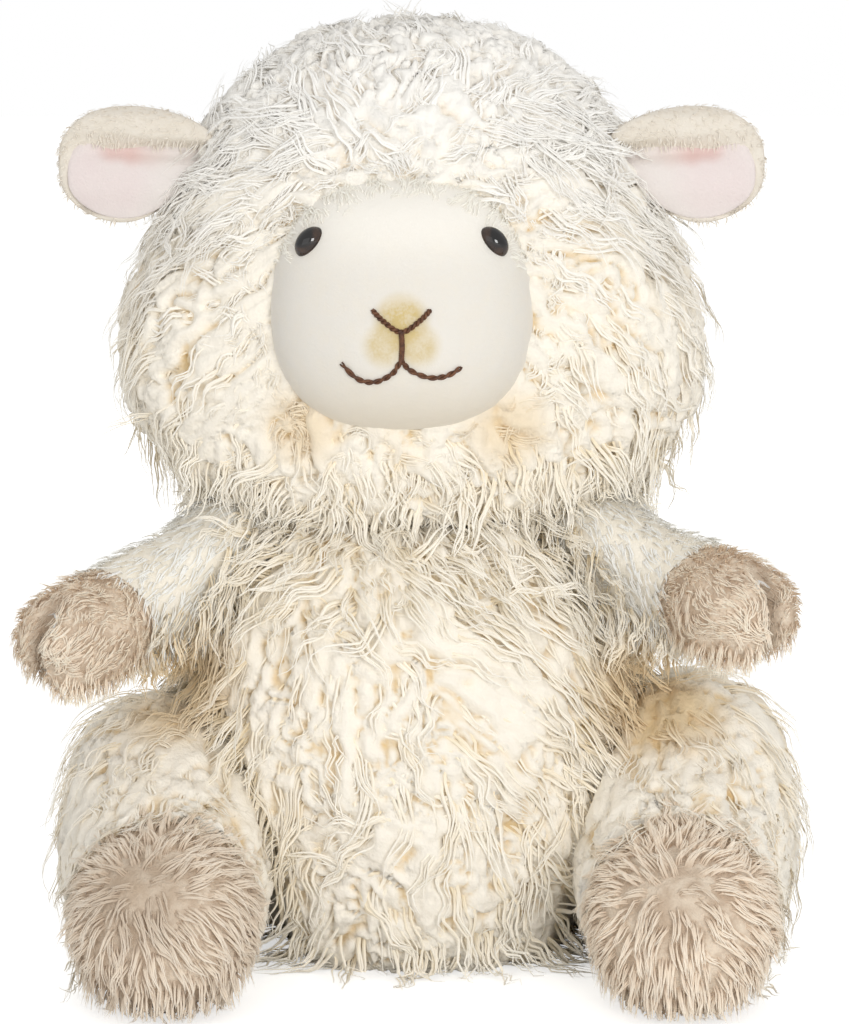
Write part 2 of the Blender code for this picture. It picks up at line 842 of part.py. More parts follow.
def add_arm(sheep, side):
    seat, facing = arm_seat(side)
    _, _, wrist, ahead = arm_route(side)
    root = (seat + facing * SEAM_GAP, -facing)
    rings = arm_rings(side)
    swing = sheep.pivot(f"arm_swing_{side}_pivot", seat)
    sleeve = form(
        f"arm_sleeve_{side}", sheep.home, rings, LIMB_SIDES, 0, [root, (wrist, ahead)]
    )
    paw = form(f"paw_{side}", sheep.home, rings, LIMB_SIDES, 0, [(wrist + ahead * GAP, -ahead)])
    hollow = form(f"arm_hollow_{side}", sheep.cutters, rings, CORE_SIDES, PLUSH_WALL, [root])
    filling = form(
        f"arm_filling_{side}", sheep.home, rings, CORE_SIDES, PLUSH_WALL + GAP, [root]
    )
    combine(hollow, cleft(sheep, side, PLUSH_WALL, "wall"), "DIFFERENCE")
    combine(filling, cleft(sheep, side, PLUSH_WALL + GAP, "core"), "DIFFERENCE")
    combine(paw, cleft(sheep, side, 0, "skin"), "DIFFERENCE")
    combine(paw, sheep.tool(hollow), "DIFFERENCE")
    combine(sleeve, hollow, "DIFFERENCE")
    sheep.piece(sleeve, "sleeve", swing)
    sheep.piece(paw, "fur", swing)
    sheep.piece(filling, "filling", swing)


def add_leg(sheep, side):
    seat, facing = leg_seat(side)
    root = (seat + facing * SEAM_GAP, -facing)
    rings = leg_rings(side)
    ahead = Vector((0, -1, 0))
    ankle = Vector((0, LEG_BACK - LEG_LENGTH * ANKLE_SHARE, 0))
    swing = sheep.pivot(f"leg_swing_{side}_pivot", seat)
    sleeve = form(
        f"leg_sleeve_{side}", sheep.home, rings, LIMB_SIDES, 0, [root, (ankle, ahead)]
    )
    foot = form(f"foot_{side}", sheep.home, rings, LIMB_SIDES, 0, [(ankle + ahead * GAP, -ahead)])
    hollow = form(f"leg_hollow_{side}", sheep.cutters, rings, CORE_SIDES, WOOL_WALL, [root])
    filling = form(
        f"leg_filling_{side}", sheep.home, rings, CORE_SIDES, WOOL_WALL + GAP, [root]
    )
    combine(sleeve, sheep.tool(hollow), "DIFFERENCE")
    combine(foot, hollow, "DIFFERENCE")
    sheep.piece(sleeve, "wool", swing)
    sheep.piece(foot, "fur", swing)
    sheep.piece(filling, "filling", swing)


def main():
    clear_scene()
    sheep = Sheep()
    add_torso(sheep)
    nod = add_neck(sheep)
    add_head(sheep, nod)
    for side in SIDES:
        add_arm(sheep, side)
        add_leg(sheep, side)


main()
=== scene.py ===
"""The looks of a seated plush sheep: curly wool, a smooth face, short-pile arms, fur paws and feet.

Metres, +Z up. The seat rests at the origin and the face looks along -Y.
Left and right are as seen from the front, so left is at -X.
"""

import math

import bmesh
import bpy
import numpy as np
from mathutils import Matrix, Vector, noise
from mathutils.bvhtree import BVHTree


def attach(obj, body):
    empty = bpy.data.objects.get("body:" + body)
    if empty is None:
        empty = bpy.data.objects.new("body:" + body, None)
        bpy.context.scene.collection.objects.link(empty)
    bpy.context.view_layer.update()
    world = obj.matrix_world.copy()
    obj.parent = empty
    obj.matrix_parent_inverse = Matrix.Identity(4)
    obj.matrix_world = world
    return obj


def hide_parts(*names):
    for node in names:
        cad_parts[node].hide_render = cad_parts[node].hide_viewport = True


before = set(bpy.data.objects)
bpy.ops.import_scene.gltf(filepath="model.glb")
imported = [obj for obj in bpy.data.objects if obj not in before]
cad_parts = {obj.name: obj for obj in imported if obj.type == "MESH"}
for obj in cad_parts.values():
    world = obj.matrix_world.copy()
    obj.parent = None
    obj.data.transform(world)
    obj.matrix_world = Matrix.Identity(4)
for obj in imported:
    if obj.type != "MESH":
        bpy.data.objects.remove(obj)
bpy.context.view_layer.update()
SEED = 20
random = np.random.default_rng(SEED)
noise.seed_set(SEED)

SIDES = {"left": -1, "right": 1}
DOWN = Vector((0, 0, -1))

# The photograph's viewpoint
VIEW_TARGET = Vector((0.0034, 0, 0.118))
VIEW_DISTANCE = 1.0
VIEW_ELEVATION = math.radians(7)
VIEW_LENS = 130.2
WORLD_LIGHT = 0.65

# Cloth forms, as the solids have them
GAP = 0.0003
TORSO_HEIGHT = 0.118
TORSO_WIDTH = 0.122
TORSO_DEPTH = 0.106
TORSO_SETBACK = 0.004
SEAT_PRESS = 0.0005
NECK_FULLNESS = 0.27
TORSO_RING_SHARES = (
    (0.00, 0.34, 0.34),
    (0.00, 0.72, 0.72),
    (0.09, 0.93, 0.92),
    (0.33, 1.03, 1.03),
    (0.60, 0.98, 0.96),
    (0.83, 0.83, 0.77),
    (0.97, 0.60, 0.54),
    (1.00, 0.30, 0.27),
)
NECK = Vector((0, TORSO_SETBACK, TORSO_HEIGHT + 0.003))
HEAD_FLOOR = NECK.z + 0.003
HOOD_FLOOR = NECK.z - 0.006
HOOD_FALL = 0.005
HOOD_HEIGHT = 0.130
HOOD_WIDTH = 0.146
HOOD_DEPTH = 0.100
HOOD_SETBACK = 0.002
HOOD_RING_SHARES = (
    (0.00, 0.42, 0.44),
    (0.04, 0.68, 0.70),
    (0.13, 0.89, 0.91),
    (0.27, 1.00, 1.00),
    (0.45, 0.99, 1.00),
    (0.63, 0.91, 0.96),
    (0.79, 0.77, 0.85),
    (0.92, 0.58, 0.65),
    (1.00, 0.27, 0.32),
)
TUFT_HEIGHT = 0.0080
TUFT_DROOP = 0.003
TUFT_CLEARANCE = 0.010
TUFT_FADE = 0.008
FACE_WIDTH = 0.070
FACE_HEIGHT = 0.065
FACE_REACH = 0.048
FACE = Vector((-0.0024, -0.018, NECK.z + 0.055))
FACE_SQUARENESS = 2.5
FACE_RING_SHARES = (
    (0.00, 0.93, 0.93, 0.00),
    (0.34, 1.00, 1.00, 0.00),
    (0.62, 0.98, 0.96, 0.01),
    (0.82, 0.81, 0.78, 0.05),
    (0.95, 0.50, 0.48, 0.09),
    (1.00, 0.22, 0.22, 0.10),
)
EAR_LENGTH = 0.0365
EAR_HEIGHT = 0.032
EAR_THICKNESS = 0.0060
EAR_RISE = 0.090
EAR_FORWARD = 0.012
EAR_SEAM_SHARE = 0.68
EAR_ROLL = 0.0034
EAR_RING_SHARES = (
    (-0.05, 0.46, 0.30),
    (0.00, 0.62, 0.90),
    (0.24, 0.94, 1.00),
    (0.55, 1.03, 0.96),
    (0.80, 0.86, 0.84),
    (0.95, 0.54, 0.66),
    (1.00, 0.26, 0.40),
)
ARM_DIAMETER = 0.027
ARM_SEAT_SHARE = 0.712
ARM_SEAT_RISE_SHARE = 0.862
ARM_SEAT_FORWARD = 0.004
ARM_TILT = math.radians(33)
ARM_YAW = math.radians(8)
ARM_TUCK = 0.007
ARM_SPRING = 0.014
SHOULDER_PUFF = 0.0085
THIGH_PUFF = 0.0050
WRIST_PLACES = {"left": (0.0345, 0.0340, -0.0055), "right": (0.0325, 0.0400, 0.0005)}
PAW_LENGTH = 0.031
PAW_WIDTH = 0.030
PAW_HEIGHT = 0.026
PAW_ROLLS = {"left": math.radians(-16), "right": math.radians(4)}
CLEFT_DEPTH = 0.011
CLEFT_WIDTH = 0.0060
CLEFT_FOLD = 0.0078
CLEFT_SIDE_SHARE = 0.20
SLEEVE_RING_SHARES = ((0.00, 0.86), (0.30, 1.02), (0.64, 1.00), (0.96, 0.92))
PAW_RING_SHARES = (
    (0.22, 0.92, 0.98),
    (0.50, 1.04, 1.04),
    (0.82, 0.86, 0.84),
    (1.00, 0.42, 0.42),
)
LEG_LENGTH = 0.125
LEG_BACK = 0.026
LEG_REST = 0.0005
LEG_SEAT_INSET = 0.021
LEG_SEAT_FORWARD = 0.004
LEG_SEAT_RISE = 0.036
LEG_TILT = math.radians(18)
LEG_YAW = math.radians(15)
ANKLE_SHARE = 0.69
ANKLE = LEG_BACK - LEG_LENGTH * ANKLE_SHARE
THIGH_OUT = {"left": 0.066, "right": 0.074}
THIGH_WIDTH = {"left": 0.056, "right": 0.060}
THIGH_HEIGHT = {"left": 0.065, "right": 0.071}
FOOT_OUT = {"left": 0.0627, "right": 0.0687}
FOOT_WIDTH = 0.047
FOOT_HEIGHT = 0.044
LEG_RING_SHARES = (
    (0.00, 0.00, 0.42),
    (0.07, 0.00, 0.80),
    (0.26, 0.00, 1.01),
    (0.55, 0.55, 0.98),
    (0.69, 1.00, 0.95),
    (0.82, 1.00, 1.04),
    (0.94, 1.00, 0.84),
    (1.00, 1.00, 0.48),
)

# Wool and fur colours, linear
# The gold of the wool's painted shade, in its creases and under the arms and the chin
WOOL_SHADE_GOLD = (0.76, 0.56, 0.29)
WOOL_GROUND = (0.970, 0.91, 0.80)
WOOL_ROOT = (0.92, 0.79, 0.56)
WOOL_MIDDLE = (0.985, 0.915, 0.785)
WOOL_TIP = (0.985, 0.945, 0.86)
CROWN_WHITE = (0.965, 0.950, 0.918)
# The colour of the fur's painted shade, at a foot's whorl and between a paw's toes
FUR_PAINTED_SHADE = (0.44, 0.335, 0.24)
# Painted light on the feet: the right foot's fur lighter and its whorl's painted shade weaker, as more
# light falls from the right
FOOT_SIDE_PAINTED_LIGHT = {"left": 1.0, "right": 1.09}
WHORL_SHADE = {"left": 0.50, "right": 0.25}
FUR_ROOT = (0.61, 0.48, 0.36)
FUR_MIDDLE = (0.84, 0.72, 0.58)
FUR_TIP = (0.91, 0.82, 0.70)
PILE_CREAM = (0.97, 0.92, 0.82)
SLEEVE_WHITE = (0.985, 0.965, 0.915)
EAR_CREAM = (0.82, 0.76, 0.67)
# The face's painted light, whiter at its top, also the colour of the brow's fuzz
FACE_PAINTED_LIGHT = (0.96, 0.92, 0.84)
FACE_SHADE = (0.84, 0.76, 0.62)
LINING_PINK = (0.80, 0.70, 0.68)
LINING_PALE = (0.81, 0.76, 0.72)
# Painted shade in the crease under an ear's rolled edge
CREASE_SHADE_PINK = (0.72, 0.44, 0.40)
FACE_CREAM = (0.800, 0.762, 0.695)
MUZZLE_TAN = (0.64, 0.50, 0.23)
THREAD_BROWN = (0.060, 0.022, 0.010)
THREAD_LIGHT = (0.16, 0.065, 0.028)
SLEEVE_SHADE = (0.88, 0.80, 0.66)
EAR_SHADE = (0.70, 0.63, 0.52)
PUPIL_BLACK = (0.004, 0.003, 0.003)
IRIS_DARK = (0.022, 0.011, 0.007)
IRIS_LIGHT = (0.050, 0.025, 0.014)
EYE_RIM = (0.012, 0.008, 0.006)
FILLING_COLOURS = ((0.90, 0.90, 0.88), (0.78, 0.78, 0.75))
COTTON_COLOURS = ((0.70, 0.68, 0.62), (0.55, 0.53, 0.48))
WASHER_WHITE = (0.75, 0.75, 0.73)
FLOOR_WHITE = (0.80, 0.80, 0.79, 1)
FLOOR_GLOW = 0.62

# Lamps of the stage: (name, place, size, power)
LAMPS = (
    ("key light", (0.36, -1.18, 0.28), 0.34, 5.3),
    ("fill light", (-0.50, -1.05, 0.20), 0.90, 1.9),
    ("back light", (0.10, 1.20, 0.75), 0.90, 1.8),
)

# Painted shade, gold, under the arms and the chin: (place, reach, strength)
PAINTED_SHADE_PLACES = (
    ((-0.0655, -0.028, 0.079), 0.025, 0.76),
    ((0.066, -0.028, 0.073), 0.026, 0.76),
    ((-0.003, -0.060, 0.138), 0.016, 0.50),
    ((-0.030, -0.050, 0.144), 0.016, 0.50),
    ((0.026, -0.050, 0.144), 0.016, 0.50),
)

# How far the deep shades reach: round a foot's whorl, aside from a paw's crease and along it
WHORL_REACH = (0.009, 0.022)
WHORL_INSET = 0.006
WHORL_FORWARD = 0.100
WHORL_RISE = 0.038
CREASE_REACH = (0.0008, 0.0034)
CREASE_START = (-0.006, 0.002)
CREASE_SHADE = 0.65

# Painted shade in the crease under an ear's rolled edge: (along and up as shares of the ear, reach,
# strength)
LINING_CREASE_SHADES = (
    (0.30, 0.20, 0.0060, 0.60),
    (0.45, 0.24, 0.0058, 0.75),
    (0.60, 0.26, 0.0050, 0.55),
)


def clamp(value, low=0.0, high=1.0):
    return max(low, min(high, value))


def ease(value, start, end):
    """0 at start, 1 at end, smooth between."""
    share = clamp((value - start) / (end - start))
    return share * share * (3 - 2 * share)


# Materials


def add_node(tree, kind, **settings):
    node = tree.nodes.new(kind)
    for key, value in settings.items():
        setattr(node, key, value)
    return node


def feed(tree, source, socket):
    """Links a socket, or sets a plain value."""
    if isinstance(source, bpy.types.NodeSocket):
        tree.links.new(source, socket)
    elif isinstance(source, tuple) and len(source) == 3 and socket.type == "RGBA":
        socket.default_value = (*source, 1)
    else:
        socket.default_value = source


def mix_colour(tree, share, first, second):
    node = add_node(tree, "ShaderNodeMix", data_type="RGBA")
    feed(tree, share, node.inputs[0])
    feed(tree, first, node.inputs[6])
    feed(tree, second, node.inputs[7])
    return node.outputs[2]


def calculate(tree, operation, *values):
    node = add_node(tree, "ShaderNodeMath", operation=operation)
    for value, socket in zip(values, node.inputs):
        feed(tree, value, socket)
    return node.outputs[0]


def remap(tree, value, low, high, start=0.0, end=1.0):
    node = add_node(tree, "ShaderNodeMapRange", interpolation_type="SMOOTHSTEP")
    for socket, source in zip(node.inputs, (value, low, high, start, end)):
        feed(tree, source, socket)
    return node.outputs[0]


def own_place(tree):
    """The place of a point in its piece's own coordinates."""
    return add_node(tree, "ShaderNodeTexCoord").outputs["Object"]


def cloud(tree, place, scale, detail):
    node = add_node(tree, "ShaderNodeTexNoise")
    node.inputs["Detail"].default_value = detail
    feed(tree, place, node.inputs["Vector"])
    feed(tree, scale, node.inputs["Scale"])
    return node.outputs[0]


def vector_step(tree, operation, first, second, result="Value"):
    node = add_node(tree, "ShaderNodeVectorMath", operation=operation)
    feed(tree, first, node.inputs[0])
    feed(tree, second, node.inputs[1])
    return node.outputs[result]


def distance_to(tree, place):
    """How far a point of the piece lies from a place."""
    return vector_step(tree, "DISTANCE", own_place(tree), place)


def along_axis(tree, origin, way):
    """How far a point of the piece lies from a place along a way."""
    offset = vector_step(tree, "SUBTRACT", own_place(tree), origin, "Vector")
    return vector_step(tree, "DOT_PRODUCT", offset, way)


def effect(name, inputs, outputs):
    """A node group with named inputs and outputs."""
    tree = bpy.data.node_groups.new(name, "ShaderNodeTree")
    for label, value in inputs.items():
        socket = tree.interface.new_socket(label, in_out="INPUT", socket_type="NodeSocketFloat")
        socket.default_value = value
    for label, kind in outputs.items():
        tree.interface.new_socket(label, in_out="OUTPUT", socket_type=f"NodeSocket{kind}")
    source = add_node(tree, "NodeGroupInput")
    sink = add_node(tree, "NodeGroupOutput")
    return tree, source.outputs, sink.inputs


def place_effect(tree, group, **values):
    node = add_node(tree, "ShaderNodeGroup", node_tree=group)
    for label, value in values.items():
        feed(tree, value, node.inputs[label.replace("_", " ")])
    return node.outputs


def patches_effect():
    """Soft patches, 0 to 1, on the piece's own place."""
    tree, given, result = effect(
        "wool patches", {"Scale": 30.0, "Low": 0.4, "High": 0.6}, {"Mask": "Float"}
    )
    patches = cloud(tree, own_place(tree), given["Scale"], 3)
    feed(tree, remap(tree, patches, given["Low"], given["High"]), result["Mask"])
    return tree


def pile_effect():
    """The nap of short pile: a fine bump, and a faint shade where the pile parts."""
    tree, given, result = effect(
        "short pile",
        {"Fineness": 1400.0, "Height": 0.0003, "Strength": 0.5},
        {"Shade": "Float", "Normal": "Vector"},
    )
    place = own_place(tree)
    fine = cloud(tree, place, given["Fineness"], 3)
    broad = cloud(tree, place, calculate(tree, "MULTIPLY", given["Fineness"], 0.14), 2)
    height = calculate(tree, "ADD", fine, calculate(tree, "MULTIPLY", broad, 1.6))
    bump = add_node(tree, "ShaderNodeBump")
    feed(tree, given["Strength"], bump.inputs["Strength"])
    feed(tree, given["Height"], bump.inputs["Distance"])
    feed(tree, height, bump.inputs["Height"])
    feed(tree, bump.outputs[0], result["Normal"])
    feed(tree, remap(tree, height, 0.9, 1.6), result["Shade"])
    return tree


def strand_effect():
    """What a strand carries: how far along it a point lies, its own tone, and its fibres."""
    tree, given, result = effect(
        "strand", {"Fibres": 5.0}, {"Along": "Float", "Tone": "Float", "Fibre": "Float"}
    )
    carried = {}
    for label in ("along", "tone", "across"):
        carried[label] = add_node(tree, "ShaderNodeAttribute", attribute_name=label).outputs["Fac"]
    place = add_node(tree, "ShaderNodeCombineXYZ")
    feed(tree, calculate(tree, "MULTIPLY", carried["across"], given["Fibres"]), place.inputs[0])
    feed(tree, calculate(tree, "MULTIPLY", carried["along"], 5.0), place.inputs[1])
    feed(tree, calculate(tree, "MULTIPLY", carried["tone"], 170.0), place.inputs[2])
    feed(tree, carried["along"], result["Along"])
    feed(tree, carried["tone"], result["Tone"])
    feed(tree, cloud(tree, place.outputs[0], 1.0, 3), result["Fibre"])
    return tree


PATCHES = patches_effect()
PILE = pile_effect()
STRAND = strand_effect()


def start_material(name, roughness, sheen=0.0, specular=0.2):
    made = bpy.data.materials.new(name)
    made.use_nodes = True
    shader = made.node_tree.nodes["Principled BSDF"]
    shader.inputs["Roughness"].default_value = roughness
    shader.inputs["Sheen Weight"].default_value = sheen
    shader.inputs["Specular IOR Level"].default_value = specular
    return made, made.node_tree, shader.inputs


def height_above_seat(tree):
    split = add_node(tree, "ShaderNodeSeparateXYZ")
    feed(tree, own_place(tree), split.inputs[0])
    return split.outputs[2]


def wool_material(name, fibres):
    """Strands of wool: golden at the root, ivory at the tip, whiter towards the crown, with painted
    shade, gold, under the arms and the chin.
    """
    made, tree, shader = start_material(name, 0.9)
    strand = place_effect(tree, STRAND, Fibres=fibres)
    low = mix_colour(tree, remap(tree, strand["Along"], 0.05, 0.45), WOOL_ROOT, WOOL_MIDDLE)
    high = mix_colour(tree, remap(tree, strand["Along"], 0.3, 0.9), low, WOOL_TIP)
    patch = place_effect(tree, PATCHES, Scale=38.0, Low=0.50, High=0.70)
    dark_fibre = remap(tree, strand["Fibre"], 0.62, 0.38, 0.10, 1.0)
    amount = calculate(tree, "MULTIPLY", calculate(tree, "ADD", patch["Mask"], 0.25), dark_fibre)
    tinted = mix_colour(tree, calculate(tree, "MULTIPLY", amount, 0.50), high, WOOL_ROOT)
    crown = remap(tree, height_above_seat(tree), 0.13, 0.235, 0.0, 0.90)
    white = mix_colour(tree, crown, tinted, CROWN_WHITE)
    feed(tree, paint_crevice_shade(tree, white), shader["Base Color"])
    return made


def paint_crevice_shade(tree, colour):
    """Painted shade: the wool turns gold under the arms and the chin."""
    for place, reach, strength in PAINTED_SHADE_PLACES:
        near = remap(tree, distance_to(tree, place), reach * 0.3, reach, strength, 0.0)
        colour = mix_colour(tree, near, colour, WOOL_SHADE_GOLD)
    return colour


def fluff_material(name):
    """The wool's own ground between the locks, with painted shade, golden, in the creases between its
    ridges and under the arms and the chin.
    """
    made, tree, shader = start_material(name, 0.95)
    dip = add_node(tree, "ShaderNodeAttribute", attribute_name="dip").outputs["Fac"]
    patch = place_effect(tree, PATCHES, Scale=170.0, Low=0.30, High=0.75)
    uneven = remap(tree, patch["Mask"], 0.0, 1.0, 0.5, 1.0)
    # Painted shade: gold where the fleece dips between its ridges
    deep = calculate(tree, "MULTIPLY", remap(tree, dip, 0.35, 0.85), uneven)
    ground = mix_colour(tree, deep, WOOL_GROUND, WOOL_SHADE_GOLD)
    crown = remap(tree, height_above_seat(tree), 0.185, 0.235, 0.0, 0.7)
    white = mix_colour(tree, crown, ground, CROWN_WHITE)
    feed(tree, paint_crevice_shade(tree, white), shader["Base Color"])
    pile = place_effect(tree, PILE, Fineness=800.0, Height=0.0006, Strength=0.6)
    feed(tree, pile["Normal"], shader["Normal"])
    return made


def fur_material(name, lightness, part):
    """Strands of taupe fur, with painted shade where part, a function of the tree, says."""
    made, tree, shader = start_material(name, 0.85)
    root, middle, tip = (
        tuple(min(0.98, lightness * level) for level in colour)
        for colour in (FUR_ROOT, FUR_MIDDLE, FUR_TIP)
    )
    strand = place_effect(tree, STRAND)
    low = mix_colour(tree, remap(tree, strand["Along"], 0.0, 0.50), root, middle)
    high = mix_colour(tree, remap(tree, strand["Along"], 0.40, 1.0), low, tip)
    patch = place_effect(tree, PATCHES, Scale=90.0, Low=0.42, High=0.68)
    amount = calculate(tree, "MULTIPLY", patch["Mask"], strand["Tone"])
    mottled = mix_colour(tree, calculate(tree, "MULTIPLY", amount, 0.4), high, root)
    feed(tree, mix_colour(tree, part(tree), mottled, FUR_PAINTED_SHADE), shader["Base Color"])
    return made


def whorl_place(side):
    across = SIDES[side] * FOOT_OUT[side] - WHORL_INSET
    return Vector((across, -WHORL_FORWARD, WHORL_RISE))


def whorl_shade(side):
    """Painted shade, deepest at the whorl of a foot's fur."""

    def part(tree):
        apart = distance_to(tree, whorl_place(side))
        return remap(tree, apart, *WHORL_REACH, WHORL_SHADE[side], 0.0)

    return part


def crease_shade(side):
    """Painted shade between the two toes of a paw."""
    middle, outward, ahead = toe_crease(side)

    def part(tree):
        aside = calculate(tree, "ABSOLUTE", along_axis(tree, middle, outward))
        near = remap(tree, aside, *CREASE_REACH, CREASE_SHADE, 0.0)
        return calculate(
            tree, "MULTIPLY", near, remap(tree, along_axis(tree, middle, ahead), *CREASE_START)
        )

    return part


def fuzz_material(name, colour):
    """Short cream strands of the sleeves, ears and face."""
    made, tree, shader = start_material(name, 0.9)
    strand = place_effect(tree, STRAND)
    shade = tuple(0.92 * part for part in colour)
    tip = tuple(min(0.99, 1.05 * part) for part in colour)
    along = remap(tree, strand["Along"], 0.0, 0.8)
    feed(tree, mix_colour(tree, along, shade, tip), shader["Base Color"])
    return made


def fur_ground_material(name, part):
    made, tree, shader = start_material(name, 0.95)
    patch = place_effect(tree, PATCHES, Scale=200.0, Low=0.35, High=0.65)
    ground = mix_colour(tree, patch["Mask"], FUR_ROOT, FUR_MIDDLE)
    # Painted shade where part says, at a whorl or a toe crease
    feed(tree, mix_colour(tree, part(tree), ground, FUR_PAINTED_SHADE), shader["Base Color"])
    pile = place_effect(tree, PILE, Fineness=1200.0, Height=0.0006, Strength=0.9)
    feed(tree, pile["Normal"], shader["Normal"])
    return made


def pile_material(name, colour, shade, sheen):
    """Short pile that is a little darker where it parts."""
    made, tree, shader = start_material(name, 0.9, sheen=sheen)
    pile = place_effect(tree, PILE, Fineness=1500.0, Height=0.00035, Strength=0.55)
    patch = place_effect(tree, PATCHES, Scale=70.0, Low=0.3, High=0.75)
    amount = calculate(tree, "MULTIPLY", patch["Mask"], 0.35)
    mottled = mix_colour(tree, amount, colour, shade)
    dip = calculate(tree, "MULTIPLY", calculate(tree, "SUBTRACT", 1.0, pile["Shade"]), 0.22)
    feed(tree, mix_colour(tree, dip, mottled, shade), shader["Base Color"])
    feed(tree, pile["Normal"], shader["Normal"])
    return made


def lining_material(name, side, root):
    """Pale pink plush, with painted shade, deeper pink, in the crease under the rolled edge, and cream
    towards the head.
    """
    made, tree, shader = start_material(name, 0.9, sheen=0.1)
    pile = place_effect(tree, PILE, Fineness=1500.0, Height=0.00035, Strength=0.55)
    patch = place_effect(tree, PATCHES, Scale=120.0, Low=0.3, High=0.75)
    colour = mix_colour(tree, calculate(tree, "MULTIPLY", patch["Mask"], 0.25), LINING_PINK, LINING_PALE)
    sign = SIDES[side]
    half = EAR_HEIGHT / 2
    # Painted shade, deeper pink, in the crease under the rolled edge
    for along, rise, reach, strength in LINING_CREASE_SHADES:
        place = Vector((root.x + sign * EAR_LENGTH * along, root.y - 0.002, root.z + half * rise))
        near = remap(tree, distance_to(tree, place), reach * 0.2, reach, strength, 0.0)
        colour = mix_colour(tree, near, colour, CREASE_SHADE_PINK)
    middle = Vector((root.x + sign * EAR_LENGTH * 0.66, root.y - 0.002, root.z - 0.22 * half))
    edge = remap(tree, distance_to(tree, middle), 0.006, 0.016, 0.0, 0.75)
    colour = mix_colour(tree, edge, colour, LINING_PALE)
    feed(tree, colour, shader["Base Color"])
    feed(tree, pile["Normal"], shader["Normal"])
    return made


def face_material(name, nose, cheeks):
    """Short cream pile with a tan brushed round the nose, whiter towards the top with painted light, and
    warmer and darker towards the chin with painted shade.
    """
    made, tree, shader = start_material(name, 0.9, sheen=0.25)
    pile = place_effect(tree, PILE, Fineness=1700.0, Height=0.00025, Strength=0.45)
    dip = calculate(tree, "MULTIPLY", calculate(tree, "SUBTRACT", 1.0, pile["Shade"]), 0.20)
    colour = mix_colour(tree, dip, FACE_CREAM, FACE_SHADE)
    # Painted light: whiter towards the top of the face
    high = remap(tree, height_above_seat(tree), FACE.z + 0.006, FACE.z + 0.026, 0.0, 0.85)
    colour = mix_colour(tree, high, colour, FACE_PAINTED_LIGHT)
    # Painted shade: warmer and darker towards the chin
    low = remap(tree, height_above_seat(tree), FACE.z - 0.034, FACE.z - 0.010, 0.75, 0.0)
    colour = mix_colour(tree, low, colour, FACE_SHADE)
    for place, reach, strength in [nose, *cheeks]:
        near = remap(tree, distance_to(tree, place), reach * 0.35, reach, strength, 0.0)
        speckle = calculate(tree, "ADD", 0.65, calculate(tree, "MULTIPLY", pile["Shade"], 0.5))
        speckled = calculate(tree, "MULTIPLY", near, speckle)
        colour = mix_colour(tree, speckled, colour, MUZZLE_TAN)
    feed(tree, colour, shader["Base Color"])
    feed(tree, pile["Normal"], shader["Normal"])
    return made


def thread_material(name):
    made, tree, shader = start_material(name, 0.55, specular=0.4)
    patch = place_effect(tree, PATCHES, Scale=900.0, Low=0.3, High=0.7)
    feed(tree, mix_colour(tree, patch["Mask"], THREAD_BROWN, THREAD_LIGHT), shader["Base Color"])
    pile = place_effect(tree, PILE, Fineness=4000.0, Height=0.00012, Strength=0.6)
    feed(tree, pile["Normal"], shader["Normal"])
    return made


def eye_material(name, middle, facing):
    """Moulded plastic: a black pupil in a dark brown iris, under a clear gloss."""
    made, tree, shader = start_material(name, 0.04, specular=0.5)
    offset = vector_step(tree, "SUBTRACT", own_place(tree), middle, "Vector")
    along = add_node(tree, "ShaderNodeVectorMath", operation="SCALE")
    along.inputs[0].default_value = facing
    feed(tree, vector_step(tree, "DOT_PRODUCT", offset, facing), along.inputs["Scale"])
    radial = vector_step(tree, "DISTANCE", offset, along.outputs[0])
    patch = place_effect(tree, PATCHES, Scale=700.0, Low=0.3, High=0.7)
    iris = mix_colour(tree, patch["Mask"], IRIS_DARK, IRIS_LIGHT)
    disc = mix_colour(tree, remap(tree, radial, 0.0026, 0.0034), PUPIL_BLACK, iris)
    edge = remap(tree, radial, 0.0039, 0.0045)
    feed(tree, mix_colour(tree, edge, disc, EYE_RIM), shader["Base Color"])
    return made


def plastic_material(name, colour):
    made, tree, shader = start_material(name, 0.45, specular=0.5)
    patch = place_effect(tree, PATCHES, Scale=400.0, Low=0.3, High=0.7)
    darker = tuple(0.9 * level for level in colour)
    feed(tree, mix_colour(tree, patch["Mask"], colour, darker), shader["Base Color"])
    return made


# Stage


def white_seen_by_camera(tree, lit, seen):
    """One value for light, another for what the camera and reflections see."""
    path = add_node(tree, "ShaderNodeLightPath").outputs
    direct = calculate(tree, "MAXIMUM", path["Is Camera Ray"], path["Is Glossy Ray"])
    share = calculate(tree, "MAXIMUM", direct, path["Is Transmission Ray"])
    return remap(tree, share, 0.0, 1.0, lit, seen)


def set_stage():
    scene = bpy.context.scene
    scene.view_settings.view_transform = "Standard"
    world = bpy.data.worlds.new("white studio")
    world.use_nodes = True
    tree = world.node_tree
    back = tree.nodes["Background"]
    back.inputs["Color"].default_value = (1, 1, 1, 1)
    feed(tree, white_seen_by_camera(tree, WORLD_LIGHT, 1.0), back.inputs["Strength"])
    scene.world = world

    bm = bmesh.new()
    bmesh.ops.create_grid(bm, x_segments=1, y_segments=1, size=14)
    floor = object_from(bm, "floor")
    made, tree, shader = start_material("white floor", 0.9, specular=0.0)
    shader["Base Color"].default_value = FLOOR_WHITE
    shader["Emission Color"].default_value = (1, 1, 1, 1)
    feed(tree, white_seen_by_camera(tree, 0.0, FLOOR_GLOW), shader["Emission Strength"])
    floor.data.materials.append(made)

    for name, place, size, power in LAMPS:
        data = bpy.data.lights.new(name, "AREA")
        data.size = size
        data.energy = power
        lamp = bpy.data.objects.new(name, data)
        lamp.location = place
        towards = VIEW_TARGET - Vector(place)
        lamp.rotation_euler = towards.to_track_quat("-Z", "Y").to_euler()
        scene.collection.objects.link(lamp)


